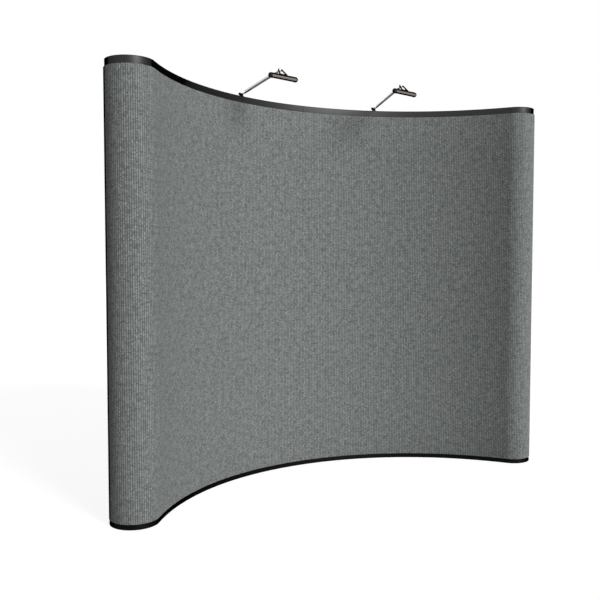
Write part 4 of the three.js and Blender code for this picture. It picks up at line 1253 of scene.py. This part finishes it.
class BACKWALL_OT_light_arms(bpy.types.Operator):
    """Build each light's plated arm and the strip along its upper side, a painted reflection of the dark
    overhead in the chrome.
    """

    bl_idname = "backwall.light_arms"
    bl_label = "Light arms"

    def execute(self, context):
        chrome = bpy.data.materials["polished chrome plate"]
        anodised = bronze_strip()
        middle = Matrix.Translation((0, -ARM_LENGTH / 2, 0))
        for word in LIGHTS:
            raised = light_frames(word)[2]
            name = f"light_{word}_arm"
            arm = moved(joined(self.arm_shapes()), raised)
            new_piece(f"{name}_tube", arm, chrome, name, [name])
            # Painted reflection: this bronze strip darkens the arm's upper side, where the chrome would
            # mirror a dark overhead.
            strip = curved_strip(ARM_LENGTH - 2 * ARM_REFLECTION_STRIP_INSET, 0.027, 0.0090, 0.0097, STRIP_CORNER)
            strip = moved(strip, raised @ middle @ quarter_turn(1))
            new_piece(f"{name}_cover_strip", strip, anodised, name)
        return {"FINISHED"}

    @staticmethod
    def arm_shapes():
        """A tube along -Y, drawn in towards each end, with a round-nosed eye plate on each."""
        near = [(0.0118, 0.0062), (0.0122, 0.0068), (0.013, 0.0074), (0.021, 0.0074), (0.024, 0.0076)]
        near += [(0.032, 0.0086), (0.040, 0.0093), (0.046, 0.0095)]
        distance, radius = np.array(near).T
        stations = np.concatenate([distance, ARM_LENGTH - distance[::-1]])
        radii = np.concatenate([radius, radius[::-1]])
        tube = moved(tapered(stations, radii, 28), aimed((0, 0, 0), (0, -1, 0)))
        turn = np.linspace(-np.pi / 2, np.pi / 2, 14)
        nose = EYE_RADIUS * np.stack([-np.cos(turn), np.sin(turn)], axis=-1)
        outline = np.concatenate([nose, [(0.013, 0.0033), (0.013, -0.0033)]])
        eye = plate(outline, -EYE_HALF, EYE_HALF, 0.0005)
        far = Matrix.Translation((0, -ARM_LENGTH, 0)) @ quarter_turn(1)
        return [tube, moved(eye, quarter_turn(-1)), moved(eye, far)]


class BACKWALL_OT_light_heads(bpy.types.Operator):
    """Build each light's yoke, housing with its cover strip and gland, reflector and lamp."""

    bl_idname = "backwall.light_heads"
    bl_label = "Light heads"

    def execute(self, context):
        nylon = bpy.data.materials["moulded black nylon"]
        anodised = bpy.data.materials["bronze anodised aluminium"]
        bright = reflector_sheet()
        glass = quartz_glass()
        ceramic = lamp_ceramic()
        for word in LIGHTS:
            head = light_frames(word)[3]
            turn = head_turn(word)
            bar = head @ turn @ HOUSING_PLACE
            facing = bar @ Matrix.Rotation(WINDOW_TURN, 4, "X")
            name, body = f"light_{word}", f"light_{word}_head"
            yoke = moved(joined(self.yoke_shapes(turn)), head)
            new_piece(f"{name}_yoke_bracket", yoke, nylon, body, [f"{name}_yoke"])
            shell = joined([moved(joined(self.shell_shapes()), facing), moved(self.gland_shape(), bar)])
            new_piece(f"{name}_housing_shell", shell, nylon, body, [f"{name}_housing"])
            # The strip's middle goes from +Z forwards and a little down.
            low, high = HEAD_RADIUS - 0.0003, HEAD_RADIUS + 0.0005
            strip = curved_strip(COVER_LENGTH, COVER_WIDTH, low, high, STRIP_CORNER)
            strip = moved(strip, bar @ Matrix.Rotation(math.pi / 2 + COVER_TURN, 4, "X"))
            new_piece(f"{name}_cover_strip", strip, anodised, body)
            trough = moved(self.reflector_shape(), facing)
            reflector = f"{name}_reflector"
            new_piece(f"{reflector}_trough", trough, bright, body, [reflector])
            tube, sockets = self.lamp_shapes()
            lamp = f"{name}_lamp"
            new_piece(f"{lamp}_tube", moved(tube, facing), glass, body, [lamp])
            sockets = moved(joined(sockets), facing)
            new_piece(f"{lamp}_sockets", sockets, ceramic, body)
        return {"FINISHED"}

    @staticmethod
    def yoke_shapes(turn):
        """Two ears on the tilt pin, two splayed legs with a boss each, and the strap round the housing."""
        pin_half, ear_start, ear_end, leg_start = 0.0112, 0.0058, 0.0092, 0.0104
        shapes = [round_bar((-pin_half, 0, 0), (pin_half, 0, 0), 0.0025, 0.0005, 16)]
        low = HEAD_RADIUS + REST_GAP
        high = low + SADDLE_THICK
        seat = turn @ HOUSING_PLACE
        for side in (-1, 1):
            ear = (side * ear_start, 0, 0), (side * ear_end, 0, 0)
            shapes.append(round_bar(*ear, EAR_RADIUS, 0.0006, 24))
            foot = seat @ Vector((side * YOKE_SPREAD, 0, high - 0.0012))
            shapes.append(round_bar((side * leg_start, -0.0035, 0), foot, YOKE_LEG_RADIUS, 0.0006, 18))
            top = seat @ Vector((side * YOKE_SPREAD, 0, high + 0.0012))
            shapes.append(round_bar(foot, top, 0.0048, 0.0009, 20))
        strap = curved_strip(SADDLE_LENGTH, SADDLE_WIDTH, low, high, 0.005)
        return [*shapes, moved(strap, seat)]

    @staticmethod
    def shell_shapes():
        """The housing, open towards -Z: a pipe with the window's slot and an end cap on each side.

        A cap's profile goes up the inside and down the outside of a half ball, with a fine groove in front:
        x = m + r sin t, radius r cos t, where m is the half length less the outer radius."""
        inner, outer = HEAD_RADIUS - HEAD_WALL, HEAD_RADIUS
        mouth = WINDOW_LENGTH / 2
        ends = [np.pi - math.asin(WINDOW_WIDTH / 2 / radius) for radius in (inner, outer)]
        shapes = [open_pipe(mouth - GROOVE, inner, outer, *ends)]
        middle = HEAD_LENGTH / 2 - outer
        turn = np.linspace(np.pi / 2 - 0.02, 0, 10)
        back = turn[::-1]
        groove = [mouth + GROOVE, mouth, mouth + GROOVE]
        stations = [middle + inner * np.sin(turn), groove, middle + outer * np.sin(back)]
        radii = [inner * np.cos(turn), [inner, outer - 0.0003, outer], outer * np.cos(back)]
        for side in (-1, 1):
            shapes.append(tapered(side * np.concatenate(stations), np.concatenate(radii), 40))
        return shapes

    @staticmethod
    def gland_shape():
        """A cable gland: a flange, a waist and a tapered sleeve."""
        profile = [(-0.0015, 0.005), (0.0025, 0.005), (0.003, 0.0046), (0.0045, 0.0046)]
        profile += [(0.005, 0.0042), (0.008, 0.0038), (0.0115, 0.0032), (0.012, 0.0026)]
        away = np.array([0, math.cos(GLAND_TURN), math.sin(GLAND_TURN)])
        start = np.array([HEAD_LENGTH / 4, 0, 0]) + HEAD_RADIUS * away
        return moved(tapered(*np.array(profile).T, 20), aimed(start, start + away))

    @staticmethod
    def reflector_shape():
        """A half pipe whose edges lie REFLECTOR_RIM from the housing's axis."""
        inner = REFLECTOR_RADIUS - REFLECTOR_WALL
        ends = [math.acos(REFLECTOR_RIM / radius) for radius in (inner, REFLECTOR_RADIUS)]
        return open_pipe(REFLECTOR_LENGTH / 2, inner, REFLECTOR_RADIUS, *ends)

    @staticmethod
    def lamp_shapes():
        """A quartz tube with rounded shoulders between two ceramic sockets."""
        half, socket = LAMP_LENGTH / 2, SOCKET_SIZE / 2
        rise, share = np.array([(-0.001, 0.45), (0.002, 0.6), (0.004, 0.9), (0.007, 1.0)]).T
        stations = np.concatenate([rise - half, half - rise[::-1]])
        radii = LAMP_RADIUS * np.concatenate([share, share[::-1]])
        tube = moved(tapered(stations, radii, 24), Matrix.Translation((0, 0, LAMP_RISE)))
        low, high = LAMP_RISE - socket, LAMP_RISE + socket
        sockets = [
            rounded_block((near, -socket, low), (near + SOCKET_LENGTH, socket, high), 0.001)
            for near in (-half - SOCKET_LENGTH, half)
        ]
        return tube, sockets


# ---------------------------------------------------------------- stage


FLOOR_HALF = 60.0
KEY_SPREAD = math.radians(24)
BACK_SPREAD = math.radians(40)
BACK_ELEVATION = math.radians(35)
CAMERA_PLACE = (-2.3198, -4.1565, 1.2963)  # from the floor under the middle of the concave face
CAMERA_DIP = 0.0526  # radians below level
CAMERA_HEADING = 0.5039  # radians to the right of straight ahead


class BACKWALL_OT_stage(bpy.types.Operator):
    """Set up the floor, the soft lamps, the white surroundings and the camera."""

    bl_idname = "backwall.stage"
    bl_label = "Stage"

    def execute(self, context):
        scene = context.scene
        studio = scene.backwall_studio
        scene.view_settings.view_transform = "Standard"
        corners = FLOOR_HALF * np.array([[-1, -1, 0], [1, -1, 0], [1, 1, 0], [-1, 1, 0]])
        mesh = bpy.data.meshes.new("studio_floor")
        mesh.from_pydata(corners.tolist(), [], [[0, 1, 2, 3]])
        mesh.materials.append(pale_floor())
        floor = bpy.data.objects.new("studio_floor", mesh)
        scene.collection.objects.link(floor)

        key = studio.key_azimuth, studio.key_elevation
        self.soft_sun("soft key light", studio.key_strength, KEY_SPREAD, *key)
        self.soft_sun("soft back light", studio.back_strength, BACK_SPREAD, math.pi, BACK_ELEVATION)

        world = bpy.data.worlds.new("white studio")
        world.use_nodes = True
        scene.world = world
        tree = world.node_tree
        background = tree.nodes["Background"]
        background.inputs["Color"].default_value = (1, 1, 1, 1)
        drive(tree, background, Strength=mapped(tree, directly_seen(tree), studio.fill_strength, 1.0))

        camera = bpy.data.cameras.new("camera")
        camera.sensor_width = 36
        camera.lens = studio.lens
        camera.clip_end = 200
        eye = bpy.data.objects.new("camera", camera)
        eye.location = Vector((0, ARC_CENTRE_Y + FRONT_RADIUS, 0)) + Vector(CAMERA_PLACE)
        eye.rotation_euler = (math.pi / 2 - CAMERA_DIP, 0, -CAMERA_HEADING)
        scene.collection.objects.link(eye)
        scene.camera = eye
        return {"FINISHED"}

    @staticmethod
    def soft_sun(name, strength, spread, azimuth, elevation):
        """A distant lamp, spread over an angle; azimuth 0 is straight in front of the wall."""
        light = bpy.data.lights.new(name, "SUN")
        light.energy = strength
        light.angle = spread
        lamp = bpy.data.objects.new(name, light)
        level = math.cos(elevation)
        towards = Vector((level * math.sin(azimuth), -level * math.cos(azimuth), math.sin(elevation)))
        lamp.rotation_euler = towards.to_track_quat("Z", "Y").to_euler()
        bpy.context.scene.collection.objects.link(lamp)


# ---------------------------------------------------------------- the add-on

OPERATORS = (
    BACKWALL_OT_stage,
    BACKWALL_OT_front_panels,
    BACKWALL_OT_end_panels,
    BACKWALL_OT_edge_rails,
    BACKWALL_OT_channel_bars,
    BACKWALL_OT_columns,
    BACKWALL_OT_scissor_pairs,
    BACKWALL_OT_light_clamps,
    BACKWALL_OT_light_arms,
    BACKWALL_OT_light_heads,
)
SETTINGS = {
    "backwall_fabric": FabricFinish,
    "backwall_rail": RailFinish,
    "backwall_metal": MetalFinish,
    "backwall_studio": StudioSettings,
}


class BACKWALL_PT_panel(bpy.types.Panel):
    """Lists the settings and the steps."""

    bl_label = "Display backwall"
    bl_space_type = "VIEW_3D"
    bl_region_type = "UI"
    bl_category = "Backwall"

    def draw(self, context):
        for name, group in SETTINGS.items():
            box = self.layout.box()
            box.label(text=group.__name__)
            for key in group.__annotations__:
                box.prop(getattr(context.scene, name), key)
        for operator in OPERATORS:
            self.layout.operator(operator.bl_idname)


def register():
    """Register the settings, the steps and the panel."""
    for group in (*SETTINGS.values(), *OPERATORS, BACKWALL_PT_panel):
        bpy.utils.register_class(group)
    for name, group in SETTINGS.items():
        setattr(bpy.types.Scene, name, bpy.props.PointerProperty(type=group))


def unregister():
    """Take all of it out again."""
    for name in SETTINGS:
        delattr(bpy.types.Scene, name)
    for group in reversed((*SETTINGS.values(), *OPERATORS, BACKWALL_PT_panel)):
        bpy.utils.unregister_class(group)


def main():
    """Build everything in order."""
    register()
    for operator in OPERATORS:
        group, step = operator.bl_idname.split(".")
        getattr(getattr(bpy.ops, group), step)()


if __name__ == "__main__":
    main()
